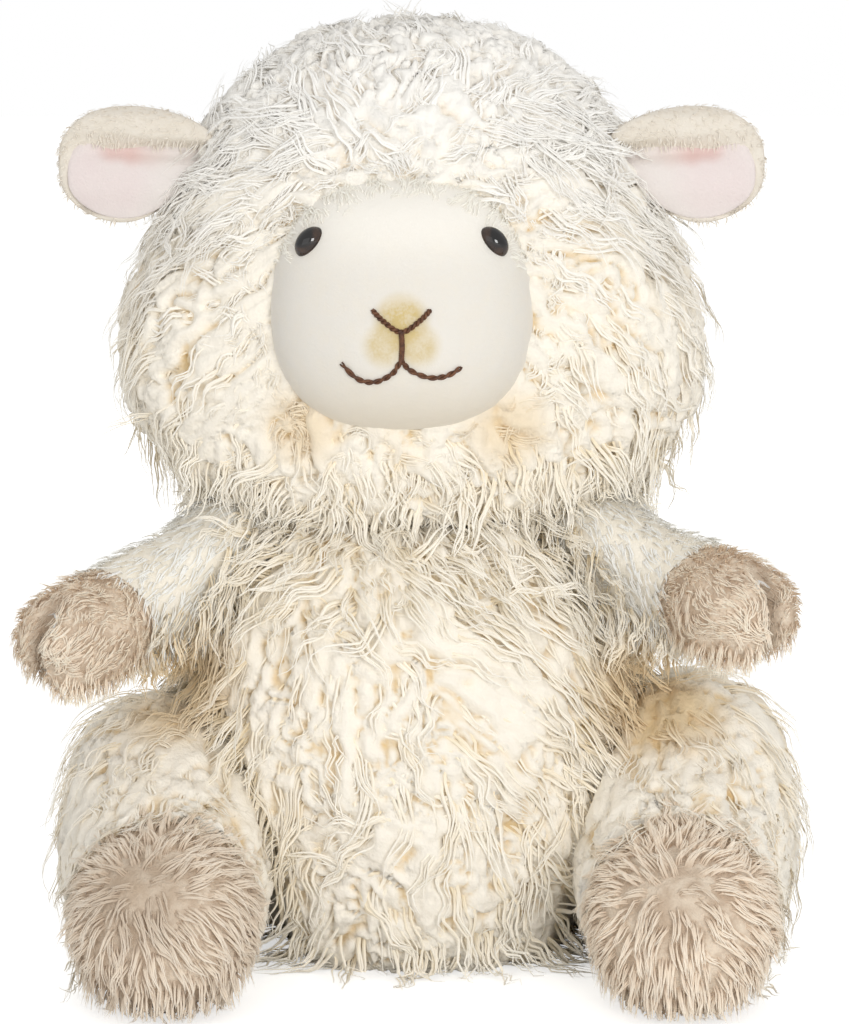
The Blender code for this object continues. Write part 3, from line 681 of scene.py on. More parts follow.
def set_camera():
    data = bpy.data.cameras.new("camera")
    data.sensor_fit = "VERTICAL"
    data.sensor_height = 36
    data.lens = VIEW_LENS
    data.clip_end = 50
    camera = bpy.data.objects.new("camera", data)
    behind = Vector((0, -math.cos(VIEW_ELEVATION), math.sin(VIEW_ELEVATION)))
    camera.location = VIEW_TARGET + behind * VIEW_DISTANCE
    camera.rotation_euler = behind.to_track_quat("Z", "Y").to_euler()
    bpy.context.scene.collection.objects.link(camera)
    bpy.context.scene.camera = camera


# Cloth forms


def object_from(bm, name):
    mesh = bpy.data.meshes.new(name)
    bm.to_mesh(mesh)
    bm.free()
    made = bpy.data.objects.new(name, mesh)
    bpy.context.scene.collection.objects.link(made)
    return made


def bake(piece):
    """The mesh that a piece's modifiers make, in a bmesh. The piece goes."""
    bpy.context.view_layer.update()
    seen = piece.evaluated_get(bpy.context.evaluated_depsgraph_get())
    mesh = bpy.data.meshes.new_from_object(seen)
    bm = bmesh.new()
    bm.from_mesh(mesh)
    bpy.data.objects.remove(piece)
    bpy.data.meshes.remove(mesh)
    return bm


def loft(rings, sides):
    """A closed cage through rings of (centre, across, up, half width, half height)."""
    widening = 3 / (2 + math.cos(math.tau / sides))
    bm = bmesh.new()
    loops = []
    for centre, across, up, half_width, half_height in rings:
        turn = Matrix((across * half_width * widening, up * half_height * widening, across.cross(up)))
        placed = Matrix.Translation(centre) @ turn.transposed().to_4x4()
        made = bmesh.ops.create_circle(bm, cap_ends=False, segments=sides, radius=1, matrix=placed)
        loops.append(list({edge for vert in made["verts"] for edge in vert.link_edges}))
    for first, second in zip(loops, loops[1:]):
        bmesh.ops.bridge_loops(bm, edges=first + second)
    bmesh.ops.holes_fill(bm, edges=[edge for edge in bm.edges if edge.is_boundary])
    bmesh.ops.recalc_face_normals(bm, faces=bm.faces)
    return bm


def subdivided(bm, levels):
    rough = object_from(bm, "rough")
    smooth = rough.modifiers.new("smooth", "SUBSURF")
    smooth.levels = smooth.render_levels = levels
    finer = bake(rough)
    finer.normal_update()
    return finer


def smooth_form(rings, sides, levels=3, room=None):
    """A smooth stuffed form. Where there is room, its wool is drawn out in drooping tufts."""
    cage = loft(rings, sides)
    corners, edges = len(cage.verts), len(cage.edges)
    bm = subdivided(cage, 1)
    if room:
        bm.verts.ensure_lookup_table()
        for vert in [*bm.verts[:corners], *bm.verts[corners + edges :]]:
            share = clamp((room(vert.co) - TUFT_CLEARANCE) / TUFT_FADE)
            vert.co += (vert.normal * TUFT_HEIGHT + DOWN * TUFT_DROOP) * share
    return subdivided(bm, levels - 1)


# Ridges of the fleece: (width, length, height, seed)
FLEECE_RIDGES = ((0.0070, 0.036, 0.0030, 2.0), (0.0030, 0.018, 0.0014, 5.0))
RIDGE_SAMPLES = 6
RIDGE_WAVE_GRAIN = 0.008
RIDGE_WAVE = 0.95


def ridge(place, way, width, length, seed):
    """0 in the crease between two locks of the fleece, 1 on their backs."""
    total = 0.0
    for k in range(-RIDGE_SAMPLES, RIDGE_SAMPLES + 1):
        spot = (place + way * (length / 2 * k / RIDGE_SAMPLES)) / width
        total += noise.noise(spot + Vector((seed, -seed, seed * 2)))
    share = abs(total) / (2 * RIDGE_SAMPLES + 1) / 0.13
    return min(1.0, share) ** 0.65


def carve_fleece(bm, flow, height=1.0):
    """Raises wavy ridges of wool along its flow, and keeps how deep each place lies."""
    dip = bm.verts.layers.float.new("dip")
    shifts = []
    for vert in bm.verts:
        place, up = vert.co, vert.normal
        way = flow(place, up) + drift(place, RIDGE_WAVE_GRAIN, RIDGE_WAVE, 31.0)
        way -= up * way.dot(up)
        way = way.normalized()
        rise = 0.0
        depth = 0.0
        for width, length, high, seed in FLEECE_RIDGES:
            back = ridge(place, way, width, length, seed)
            rise += back * high
            depth += (1 - back) * high
        # How deep the place lies: the wool ground paints its crease shade from this
        vert[dip] = depth / sum(high for _, _, high, _ in FLEECE_RIDGES)
        shifts.append(up * rise * height)
    for vert, shift in zip(bm.verts, shifts):
        vert.co += shift
    bm.normal_update()


def slice_off(bm, point, outward):
    """Removes what lies beyond a plane and closes the cut."""
    everything = bm.verts[:] + bm.edges[:] + bm.faces[:]
    cut = bmesh.ops.bisect_plane(
        bm, geom=everything, plane_co=point, plane_no=outward, clear_outer=True
    )
    rim = [item for item in cut["geom_cut"] if isinstance(item, bmesh.types.BMEdge)]
    bmesh.ops.edgeloop_fill(bm, edges=rim)
    bmesh.ops.recalc_face_normals(bm, faces=bm.faces)


def finish_piece(piece, body, material, nodes=(), smooth=True):
    """Shades a piece, hangs it on its body and hides the CAD parts that it stands for."""
    piece.data.materials.clear()
    piece.data.materials.append(material)
    if smooth:
        piece.data.shade_smooth()
    else:
        piece.data.shade_flat()
    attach(piece, body)
    if nodes:
        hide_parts(*nodes)
    return piece


class Cloth:
    """The outside of a form: where wool or fur is rooted, and what it lies on."""

    def __init__(self, bm, planes=(), shy_of=(), covers=()):
        self.tree = BVHTree.FromBMesh(bm)
        self.covers = covers
        work = bm.copy()
        bmesh.ops.triangulate(work, faces=work.faces)
        work.normal_update()
        self.points = np.array([vert.co[:] for vert in work.verts])
        self.normals = np.array([vert.normal[:] for vert in work.verts])
        self.corners = np.array([[vert.index for vert in face.verts] for face in work.faces])
        self.planes = planes
        self.shy_of = shy_of
        work.free()

    def inside(self, point, margin):
        near, normal, _, _ = self.tree.find_nearest(point)
        return (point - near).dot(normal) < margin

    def settle(self, point):
        """The nearest place on the cloth, or on what covers it there, and its normal."""
        near, normal, _, _ = self.tree.find_nearest(point)
        for cover in self.covers:
            over, outward, _, _ = cover.tree.find_nearest(near)
            if (near - over).dot(outward) < 0:
                near, normal = over, outward
        return near, normal

    def draw_in(self, point, clearance):
        """The pull of a hanging point towards the nearest form below it."""
        pull = Vector((0, 0, 0))
        for cover in self.covers:
            over, _, _, apart = cover.tree.find_nearest(point)
            if clearance < apart < 0.025:
                pull = (over - point) / apart * 0.45
        return pull

    def push_out(self, point, clearance):
        """Keeps a hanging point off the forms that it hangs over."""
        for cover in self.covers:
            over, outward, _, _ = cover.tree.find_nearest(point)
            if (point - over).dot(outward) < clearance:
                point = over + outward * clearance
        return point

    def open_at(self, point):
        """Whether wool can be rooted here: not on a seam's far side nor under another form."""
        if any((point - place).dot(outward) > 0 for place, outward in self.planes):
            return False
        return not any(other.inside(point, margin) for other, margin in self.shy_of)

    def scatter(self, count, spacing, where=None):
        """Random roots on the cloth and their normals, at least spacing apart."""
        tri = self.points[self.corners]
        sides = np.cross(tri[:, 1] - tri[:, 0], tri[:, 2] - tri[:, 0])
        area = np.linalg.norm(sides, axis=1)
        picked = random.choice(len(area), size=count, p=area / area.sum())
        first, second = random.random(count), random.random(count)
        flip = first + second > 1
        first[flip], second[flip] = 1 - first[flip], 1 - second[flip]
        weights = np.stack([1 - first - second, first, second], axis=1)[:, :, None]
        roots = (tri[picked] * weights).sum(axis=1)
        normals = (self.normals[self.corners[picked]] * weights).sum(axis=1)
        normals /= np.linalg.norm(normals, axis=1, keepdims=True)
        kept = []
        cells = {}
        for i in range(count):
            place = Vector(roots[i])
            if where and not where(place):
                continue
            cell = tuple(np.floor(roots[i] / spacing).astype(int))
            close = [
                j
                for dx in (-1, 0, 1)
                for dy in (-1, 0, 1)
                for dz in (-1, 0, 1)
                for j in cells.get((cell[0] + dx, cell[1] + dy, cell[2] + dz), ())
            ]
            if any(((roots[i] - roots[j]) ** 2).sum() < spacing**2 for j in close):
                continue
            if self.open_at(place):
                cells.setdefault(cell, []).append(i)
                kept.append(i)
        return roots[kept], normals[kept]


# Wool and fur

ROOT_DEPTH = 0.0012
FLOOR_CLEAR = 0.0006
GUIDE_STEPS = 8
STRAND_REACH = (0.60, 1.0)

# How each kind of strand grows. spacing is between the roots of its locks, length, lift and
# stray say how long, how high and how far off its way a lock lies, and a wild share of the
# locks stands off. Each lock has per_lock strands of so many points, spread at the root,
# which wave by curl every pitch, both (low, high).
KINDS = {
    "locks": {
        "tries": 30000,
        "spacing": 0.0062,
        "stray": 0.22,
        "wild": 0.05,
        "per_lock": 5,
        "points": 13,
        "spread": 0.0040,
        "curl": (0.0006, 0.0017),
        "pitch": (0.0085, 0.0155),
        "frizz": 0.0004,
        "depth": (-0.2, 0.2),
        "gather": 0.70,
        "width": 0.00105,
    },
    "wisps": {
        "tries": 40000,
        "wild": 0.0,
        "per_lock": 7,
        "points": 7,
        "spread": 0.0024,
        "curl": (0.0004, 0.0012),
        "pitch": (0.006, 0.010),
        "frizz": 0.0003,
        "depth": (-0.3, 0.4),
        "gather": 0.55,
        "width": 0.0008,
    },
    "fur": {
        "tries": 24000,
        "spacing": 0.0021,
        "stray": 0.22,
        "wild": 0.02,
        "per_lock": 5,
        "points": 4,
        "spread": 0.0012,
        "curl": (0.0001, 0.0005),
        "pitch": (0.007, 0.012),
        "frizz": 0.0002,
        "depth": (-0.2, 0.3),
        "gather": 0.45,
        "width": 0.0006,
    },
}


class Locks:
    """Guide lines of wool with the wave and tone that each lock keeps."""

    def __init__(self, lines, ups, lengths):
        self.lines, self.ups, self.lengths = lines, ups, lengths
        self.phase = random.uniform(0, math.tau, len(lines))
        self.wave = random.uniform(0, 1, len(lines))
        self.tone = random.uniform(0, 1, len(lines))
        self.grip = random.uniform(0.6, 1.25, len(lines))


def per_place(value):
    """A value, or a function of a root's place, as such a function."""
    return value if callable(value) else lambda place: value


def comb(cloth, roots, normals, flow, kind):
    """Guide lines that rise from the cloth, lie along it, and hang where it turns under."""
    length, lift, stray = (per_place(kind[part]) for part in ("length", "lift", "stray"))
    count = len(roots)
    lines = np.zeros((count, GUIDE_STEPS + 1, 3))
    ups = np.zeros((count, GUIDE_STEPS + 1, 3))
    lengths = np.zeros(count)
    for i in range(count):
        foot, up = Vector(roots[i]), Vector(normals[i])
        whole = length(foot) * random.uniform(0.75, 1.25)
        rise = lift(foot) * random.uniform(0.45, 1.1)
        flick = rise * random.uniform(-0.2, 0.5)
        sway = Vector(random.normal(0, 1, 3)) * stray(foot)
        if random.random() < kind["wild"]:
            rise *= 1.3
            flick = rise * 0.45
        stride = whole / GUIDE_STEPS
        place = foot - up * ROOT_DEPTH
        hanging = False
        heading = up
        lines[i, 0], ups[i, 0] = place, up
        for k in range(1, GUIDE_STEPS + 1):
            t = k / GUIDE_STEPS
            if hanging:
                heading = heading * 0.5 + DOWN * 0.5 + sway * 0.4 + cloth.draw_in(place, rise)
                place = cloth.push_out(place + heading.normalized() * stride, rise * 0.5)
            else:
                way = flow(foot, up) + sway
                way -= up * way.dot(up)
                if way.length < 1e-5:
                    way = up.orthogonal()
                way.normalize()
                foot, normal = cloth.settle(foot + way * stride)
                up = (up * 0.4 + normal * 0.6).normalized()
                before = place
                place = foot + up * (rise * (1 - (1 - t) ** 2) + flick * t**3)
                heading = (place - before).normalized()
                if up.z < -0.45:
                    hanging = True
            if place.z < FLOOR_CLEAR + 0.001:
                place = Vector((place.x, place.y, FLOOR_CLEAR + 0.001))
                hanging = True
                heading = Vector((heading.x, heading.y, 0)) * 0.8 - Vector((0, 0.3, 0))
            lines[i, k], ups[i, k] = place, up
        lengths[i] = whole
    return Locks(lines, ups, lengths)


def along_guides(guides, owners, shares):
    """Points on Catmull-Rom curves through the guides, at shares of their length."""
    last = guides.shape[1] - 1
    spot = shares * last
    low = np.clip(np.floor(spot).astype(int), 0, last - 1)
    t = (spot - low)[:, :, None]
    pick = owners[:, None]
    a = guides[pick, np.maximum(low - 1, 0)]
    b = guides[pick, low]
    c = guides[pick, low + 1]
    d = guides[pick, np.minimum(low + 2, last)]
    square = (2 * a - 5 * b + 4 * c - d) * t**2
    return 0.5 * (2 * b + (c - a) * t + square + (3 * b - a - 3 * c + d) * t**3)


def unit(vectors):
    return vectors / (np.linalg.norm(vectors, axis=-1, keepdims=True) + 1e-9)


def bundle(locks, kind):
    """Strands that follow each guide as a lock: spread at the root, drawn together at the tip."""
    per_lock, points, spread = (kind[part] for part in ("per_lock", "points", "spread"))
    curl, pitch, frizz = (kind[part] for part in ("curl", "pitch", "frizz"))
    count = len(locks.lines) * per_lock
    owners = np.repeat(np.arange(len(locks.lines)), per_lock)
    shares = np.linspace(0, 1, points)[None, :] * random.uniform(*STRAND_REACH, (count, 1))
    centre = along_guides(locks.lines, owners, shares)
    side = unit(np.cross(np.gradient(centre, axis=1), along_guides(locks.ups, owners, shares)))
    up = unit(np.cross(side, np.gradient(centre, axis=1)))
    wave = locks.wave[owners][:, None]
    height = curl[0] + (curl[1] - curl[0]) * wave
    period = pitch[0] + (pitch[1] - pitch[0]) * (1 - wave)
    phase = locks.phase[owners][:, None] + random.normal(0, 0.35, (count, 1))
    turn = shares * locks.lengths[owners][:, None] / period * math.tau + phase
    growth = 0.3 + 0.7 * shares
    gathered = np.clip(kind["gather"] * locks.grip[owners][:, None], 0, 0.95)
    narrow = 1 - gathered * shares**0.8
    across = random.uniform(-1, 1, (count, 1)) * spread * narrow + height * growth * np.sin(turn)
    deep = random.uniform(*kind["depth"], (count, 1)) * spread * narrow
    deep = deep + height * 0.6 * growth * np.cos(turn * 0.83)
    own = random.uniform(0, math.tau, (count, 1))
    across = across + frizz * np.sin(shares * 17 + own) * growth
    deep = deep + frizz * np.cos(shares * 14 + own * 1.7) * growth
    strands = centre + side * across[:, :, None] + up * deep[:, :, None]
    strands[:, :, 2] = np.maximum(strands[:, :, 2], FLOOR_CLEAR)
    tone = locks.tone[owners] * 0.6 + random.uniform(0, 0.4, count)
    return strands, up, tone


def tube_modifier(name, sides, flatness):
    """Turns chains of edges into tubes of their own thickness, flat against the cloth."""
    tree = bpy.data.node_groups.new(name, "GeometryNodeTree")
    tree.interface.new_socket("Geometry", in_out="INPUT", socket_type="NodeSocketGeometry")
    tree.interface.new_socket("Geometry", in_out="OUTPUT", socket_type="NodeSocketGeometry")
    source = add_node(tree, "NodeGroupInput")
    sink = add_node(tree, "NodeGroupOutput")
    line = add_node(tree, "GeometryNodeMeshToCurve")
    laid = add_node(tree, "GeometryNodeSetCurveNormal", mode="FREE")
    lay = add_node(tree, "GeometryNodeInputNamedAttribute", data_type="FLOAT_VECTOR")
    lay.inputs["Name"].default_value = "lay"
    carried = add_node(tree, "GeometryNodeInputNamedAttribute", data_type="FLOAT")
    carried.inputs["Name"].default_value = "thickness"
    thick = add_node(tree, "GeometryNodeSetCurveRadius")
    circle = add_node(tree, "GeometryNodeCurvePrimitiveCircle")
    circle.inputs["Resolution"].default_value = sides
    circle.inputs["Radius"].default_value = 1
    place = add_node(tree, "GeometryNodeInputPosition")
    apart = add_node(tree, "ShaderNodeSeparateXYZ")
    across = add_node(tree, "GeometryNodeStoreNamedAttribute", data_type="FLOAT", domain="POINT")
    across.inputs["Name"].default_value = "across"
    profile = add_node(tree, "GeometryNodeTransform")
    profile.inputs["Scale"].default_value = (flatness, 1, 1)
    tube = add_node(tree, "GeometryNodeCurveToMesh")
    tube.inputs["Fill Caps"].default_value = True
    for start, end in (
        (source.outputs[0], line.inputs["Mesh"]),
        (line.outputs[0], laid.inputs["Curve"]),
        (lay.outputs["Attribute"], laid.inputs["Normal"]),
        (laid.outputs[0], thick.inputs["Curve"]),
        (carried.outputs["Attribute"], thick.inputs["Radius"]),
        (thick.outputs[0], tube.inputs["Curve"]),
        (place.outputs[0], apart.inputs[0]),
        (circle.outputs[0], across.inputs["Geometry"]),
        (apart.outputs[1], across.inputs["Value"]),
        (across.outputs[0], profile.inputs["Geometry"]),
        (profile.outputs[0], tube.inputs["Profile Curve"]),
        (tube.outputs[0], sink.inputs[0]),
    ):
        tree.links.new(start, end)
    if "Scale" in tube.inputs:
        tree.links.new(carried.outputs["Attribute"], tube.inputs["Scale"])
    return tree


STRAND_SIDES = 3
STRAND_TUBE = tube_modifier("strand tube", STRAND_SIDES, 0.25)
PIECE_FACES = 180000


def strand_mesh(name, bundled, width):
    """One mesh of tapered strands that carry how far along they are and their tone."""
    strands, lays, tone = bundled
    count, points, _ = strands.shape
    mesh = bpy.data.meshes.new(name)
    mesh.vertices.add(count * points)
    mesh.vertices.foreach_set("co", strands.astype(np.float32).ravel())
    start = (np.arange(count) * points)[:, None] + np.arange(points - 1)[None, :]
    mesh.edges.add(count * (points - 1))
    mesh.edges.foreach_set("vertices", np.stack([start, start + 1], axis=2).astype(np.int32).ravel())
    t = np.linspace(0, 1, points)[None, :]
    taper = np.minimum(1, 0.55 + 1.6 * t) * (1 - 0.86 * t**2.0)
    thick = taper * width / 2 * random.uniform(0.7, 1.25, (count, 1))
    for label, values in (
        ("thickness", thick),
        ("along", np.broadcast_to(t, (count, points))),
        ("tone", np.broadcast_to(tone[:, None], (count, points))),
    ):
        layer = mesh.attributes.new(label, "FLOAT", "POINT")
        layer.data.foreach_set("value", values.astype(np.float32).ravel())
    layer = mesh.attributes.new("lay", "FLOAT_VECTOR", "POINT")
    layer.data.foreach_set("vector", lays.astype(np.float32).ravel())
    lines = bpy.data.objects.new(name, mesh)
    bpy.context.scene.collection.objects.link(lines)
    lines.modifiers.new("tube", "NODES").node_group = STRAND_TUBE
    bpy.context.view_layer.update()
    seen = lines.evaluated_get(bpy.context.evaluated_depsgraph_get())
    tubes = bpy.data.meshes.new_from_object(seen)
    bpy.data.objects.remove(lines)
    bpy.data.meshes.remove(mesh)
    tubes.name = name
    made = bpy.data.objects.new(name, tubes)
    bpy.context.scene.collection.objects.link(made)
    return made


def lay_strands(name, body, material, bundled, width):
    """Puts strands on a body, in as many pieces as their faces need."""
    count, points, _ = bundled[0].shape
    triangles = (points - 1) * STRAND_SIDES * 2 + (STRAND_SIDES - 2) * 2
    share = max(1, PIECE_FACES // triangles)
    for first in range(0, count, share):
        part = tuple(values[first : first + share] for values in bundled)
        piece = strand_mesh(f"{name}_{first // share + 1}", part, width)
        finish_piece(piece, body, material, smooth=False)


def grow(name, body, cloth, kind, flow, material, slot="wool", where=None, **changes):
    """Roots strands of a kind on a cloth, with some of its values changed, and lays them."""
    made = {**KINDS[kind], **changes}
    roots, normals = cloth.scatter(made["tries"], made["spacing"], where)
    locks = comb(cloth, roots, normals, flow, made)
    lay_strands(name, body, material, bundle(locks, made), made["width"])


# The sheep's forms


def standing_rings(shares, floor, height, width, depth, setback):
    return [
        (
            Vector((0, setback, floor + height * up)),
            Vector((1, 0, 0)),
            Vector((0, 1, 0)),
            width / 2 * across,
            depth / 2 * along,
        )
        for up, across, along in shares
    ]


def torso_rings():
    """The torso with its full wool at the neck."""
    fuller = [
        (up, across + NECK_FULLNESS * ease(up, 0.70, 0.97), along + NECK_FULLNESS * ease(up, 0.70, 0.97))
        for up, across, along in TORSO_RING_SHARES
    ]
    return standing_rings(
        fuller,
        -SEAT_PRESS,
        TORSO_HEIGHT + SEAT_PRESS,
        TORSO_WIDTH,
        TORSO_DEPTH,
        TORSO_SETBACK,
    )


def hood_rings():
    return standing_rings(
        HOOD_RING_SHARES, HOOD_FLOOR, HOOD_HEIGHT, HOOD_WIDTH, HOOD_DEPTH, HOOD_SETBACK
    )


def face_rings():
    return [
        (
            FACE - Vector((0, FACE_REACH * reach, FACE_HEIGHT * hang)),
            Vector((1, 0, 0)),
            Vector((0, 0, 1)),
            FACE_WIDTH / 2 * across,
            FACE_HEIGHT / 2 * up,
        )
        for reach, across, up, hang in FACE_RING_SHARES
    ]


def arm_seat(side):
    sign = SIDES[side]
    point = Vector(
        (
            sign * TORSO_WIDTH / 2 * ARM_SEAT_SHARE,
            -ARM_SEAT_FORWARD,
            TORSO_HEIGHT * ARM_SEAT_RISE_SHARE,
        )
    )
    level = math.cos(ARM_TILT)
    facing = (sign * level * math.cos(ARM_YAW), -level * math.sin(ARM_YAW), math.sin(ARM_TILT))
    return point, Vector(facing)


def leg_seat(side):
    sign = SIDES[side]
    point = Vector(
        (sign * (THIGH_OUT[side] - LEG_SEAT_INSET), -LEG_SEAT_FORWARD, LEG_SEAT_RISE)
    )
    level = math.cos(LEG_TILT)
    facing = (sign * level * math.cos(LEG_YAW), -level * math.sin(LEG_YAW), -math.sin(LEG_TILT))
    return point, Vector(facing)


def arm_route(side):
    seat, facing = arm_seat(side)
    out, forward, rise = WRIST_PLACES[side]
    root = seat - facing * ARM_TUCK
    bend = seat + facing * ARM_SPRING
    wrist = seat + Vector((SIDES[side] * out, -forward, rise))
    return root, bend, wrist, (wrist - bend).normalized()


def ring_frame(along, roll):
    across = along.cross(Vector((0, 0, 1))).normalized()
    up = across.cross(along)
    turn = Matrix.Rotation(roll, 3, along)
    return turn @ across, turn @ up


def arm_rings(side):
    root, bend, wrist, ahead = arm_route(side)
    rings = []
    for share, size in SLEEVE_RING_SHARES:
        centre = root.lerp(bend, share).lerp(bend.lerp(wrist, share), share)
        along = (bend.lerp(wrist, share) - root.lerp(bend, share)).normalized()
        radius = ARM_DIAMETER / 2 * size
        rings.append((centre, *ring_frame(along, 0), radius, radius))
    across, up = ring_frame(ahead, PAW_ROLLS[side])
    for share, wide, high in PAW_RING_SHARES:
        centre = wrist + ahead * PAW_LENGTH * share
        rings.append((centre, across, up, PAW_WIDTH / 2 * wide, PAW_HEIGHT / 2 * high))
    return rings


def leg_rings(side):
    rings = []
    for along, footed, size in LEG_RING_SHARES:
        out = THIGH_OUT[side] * (1 - footed) + FOOT_OUT[side] * footed
        wide = THIGH_WIDTH[side] * (1 - footed) + FOOT_WIDTH * footed
        high = THIGH_HEIGHT[side] * (1 - footed) + FOOT_HEIGHT * footed
        centre = Vector((SIDES[side] * out, LEG_BACK - LEG_LENGTH * along, LEG_REST + high / 2))
        rings.append(
            (centre, Vector((1, 0, 0)), Vector((0, 0, 1)), wide / 2 * size, high / 2 * size)
        )
    return rings


def torso_planes():
    return [(Vector((0, 0, 0)), DOWN)] + [seat(side) for side in SIDES for seat in (arm_seat, leg_seat)]


def torso_room(place):
    """How far a place on the torso lies from its seams, the floor and the hood."""
    seams = [(point - place).dot(outward) for point, outward in torso_planes()]
    return min(HOOD_FLOOR - place.z, *seams)


def hood_room(place):
    """How far a place on the hood lies from the face, the ears and the shoulders."""
    beside_face = rim_distance(place)
    if place.y > FACE.y:
        beside_face = HOOD_WIDTH
    beside_ear = math.hypot(place.y + EAR_FORWARD, place.z - NECK.z - EAR_RISE) - EAR_HEIGHT / 2
    return min(beside_face, beside_ear, place.z - HEAD_FLOOR - TUFT_CLEARANCE)


def rim_distance(place):
    """How far a place lies outside the face's outline, seen from the front."""
    across = (place.x - FACE.x) / (FACE_WIDTH / 2)
    up = (place.z - FACE.z) / (FACE_HEIGHT / 2)
    return (math.hypot(across, up) - 1) * FACE_WIDTH / 2


# Flows


def drift(place, grain, amount, seed=0.0):
    """A slow random turn of the wool's direction."""
    spot = place / grain + Vector((seed, seed * 1.7, -seed))
    return noise.noise_vector(spot) * amount


def torso_flow(place, up):
    aside = clamp(place.x / 0.055, -1, 1)
    front = ease(place.y, 0.0, -0.03)
    sweep = front * math.exp(-(((place.x - 0.024) / 0.026) ** 2 + ((place.z - 0.085) / 0.024) ** 2))
    over_thigh = ease(place.z, 0.080, 0.050)
    way = Vector((aside * (0.40 + 0.45 * over_thigh) + 1.3 * sweep, 0, -1))
    outward = Vector((place.x, place.y - TORSO_SETBACK, 0)).normalized()
    way += outward * 1.5 * ease(place.z, 0.090, 0.110)
    return way + drift(place, 0.022, 0.85)


def side_flow(place, up):
    """Wool under the arms: out and down."""
    return Vector((math.copysign(0.45, place.x), -0.2, -0.9)) + drift(place, 0.015, 0.7, 27.0)


def hood_flow(place, up):
    away = Vector((place.x - FACE.x, 0, place.z - FACE.z)).normalized()
    front = ease(place.y, 0.02, -0.03)
    crown = ease(place.z, 0.205, 0.235)
    low = ease(place.z, 0.150, 0.128)
    way = away * (0.35 + 0.9 * front * (1 - 0.6 * low))
    way += DOWN * 0.75 * (1 - crown)
    way += (Vector((0, 0.5, 0)) + away * 0.4) * crown
    return way + drift(place, 0.020, 0.8 + 0.5 * crown + 0.4 * low, 3.0)


def ruff_flow(place, up):
    """Short wool round the face: mostly off it, but over the forehead's edge."""
    away = Vector((place.x - FACE.x, 0, place.z - FACE.z)).normalized()
    above = ease(place.z, FACE.z + 0.012, FACE.z + 0.028)
    return away * (0.30 - 0.7 * above) + DOWN * (0.25 + 0.5 * above) + drift(place, 0.006, 1.1, 5.0)


def crown_flow(place, up):
    return drift(place, 0.008, 1.0, 9.0) + Vector((place.x / 0.08, 0, 0))


def sleeve_flow(side):
    ahead = arm_route(side)[3]

    def flow(place, up):
        return ahead * 1.0 + DOWN * 0.55 + drift(place, 0.014, 0.5, 13.0)

    return flow


def leg_flow(side):
    sign = SIDES[side]

    def flow(place, up):
        near_foot = ease(place.y, -0.02, -0.05)
        way = Vector((0.55 * sign, -0.10, -0.75)) * (1 - near_foot)
        way += Vector((0.1 * sign, -0.7, -0.6)) * near_foot
        return way + drift(place, 0.022, 0.7 * (1 - 0.6 * near_foot), 7.0 + sign)

    return flow


def whorl_flow(centre, fall):
    """Fur that leaves a whorl and then falls."""

    def flow(place, up):
        away = (place - centre).normalized()
        return away + DOWN * fall + drift(place, 0.009, 1.0, 11.0)

    return flow


# Pieces


def add_torso(wool, fluff, forms):
    base = smooth_form(torso_rings(), 12, 5, room=torso_room)
    carve_fleece(base, torso_flow)
    slice_off(base, Vector((0, 0, 0.0)), DOWN)
    for side in SIDES:
        for seat in (arm_seat, leg_seat):
            point, facing = seat(side)
            slice_off(base, point - facing * GAP / 3, facing)
    piece = object_from(base, "torso_fleece")
    finish_piece(piece, "torso", fluff, ["torso_cover"])

    def length(place):
        return 0.025 + 0.010 * ease(place.z, 0.100, 0.065)

    def lift(place):
        side = ease(abs(place.x), 0.035, 0.055) * ease(place.z, 0.020, 0.045)
        top = ease(place.z, 0.085, 0.105)
        return 0.0064 - 0.0025 * ease(place.z, 0.03, 0.005) + 0.003 * side + 0.003 * top

    def stray(place):
        return 0.30 + 0.35 * ease(place.z, 0.080, 0.105)

    grow(
        "torso_wool_strands",
        "torso",
        forms["torso"],
        "locks",
        torso_flow,
        wool,
        length=length,
        lift=lift,
        stray=stray,
    )
    grow(
        "neck_wool",
        "torso",
        forms["neck"],
        "wisps",
        torso_flow,
        wool,
        where=lambda place: place.z > 0.098,
        length=0.016,
        lift=0.0120,
        stray=0.8,
        spacing=0.0042,
    )

    def flank(place):
        return abs(place.x) > 0.040 and 0.045 < place.z < 0.096 and place.y < 0.030

    grow(
        "side_wool",
        "torso",
        forms["neck"],
        "wisps",
        side_flow,
        wool,
        where=flank,
        length=0.024,
        lift=0.0140,
        stray=0.35,
        spacing=0.0042,
    )


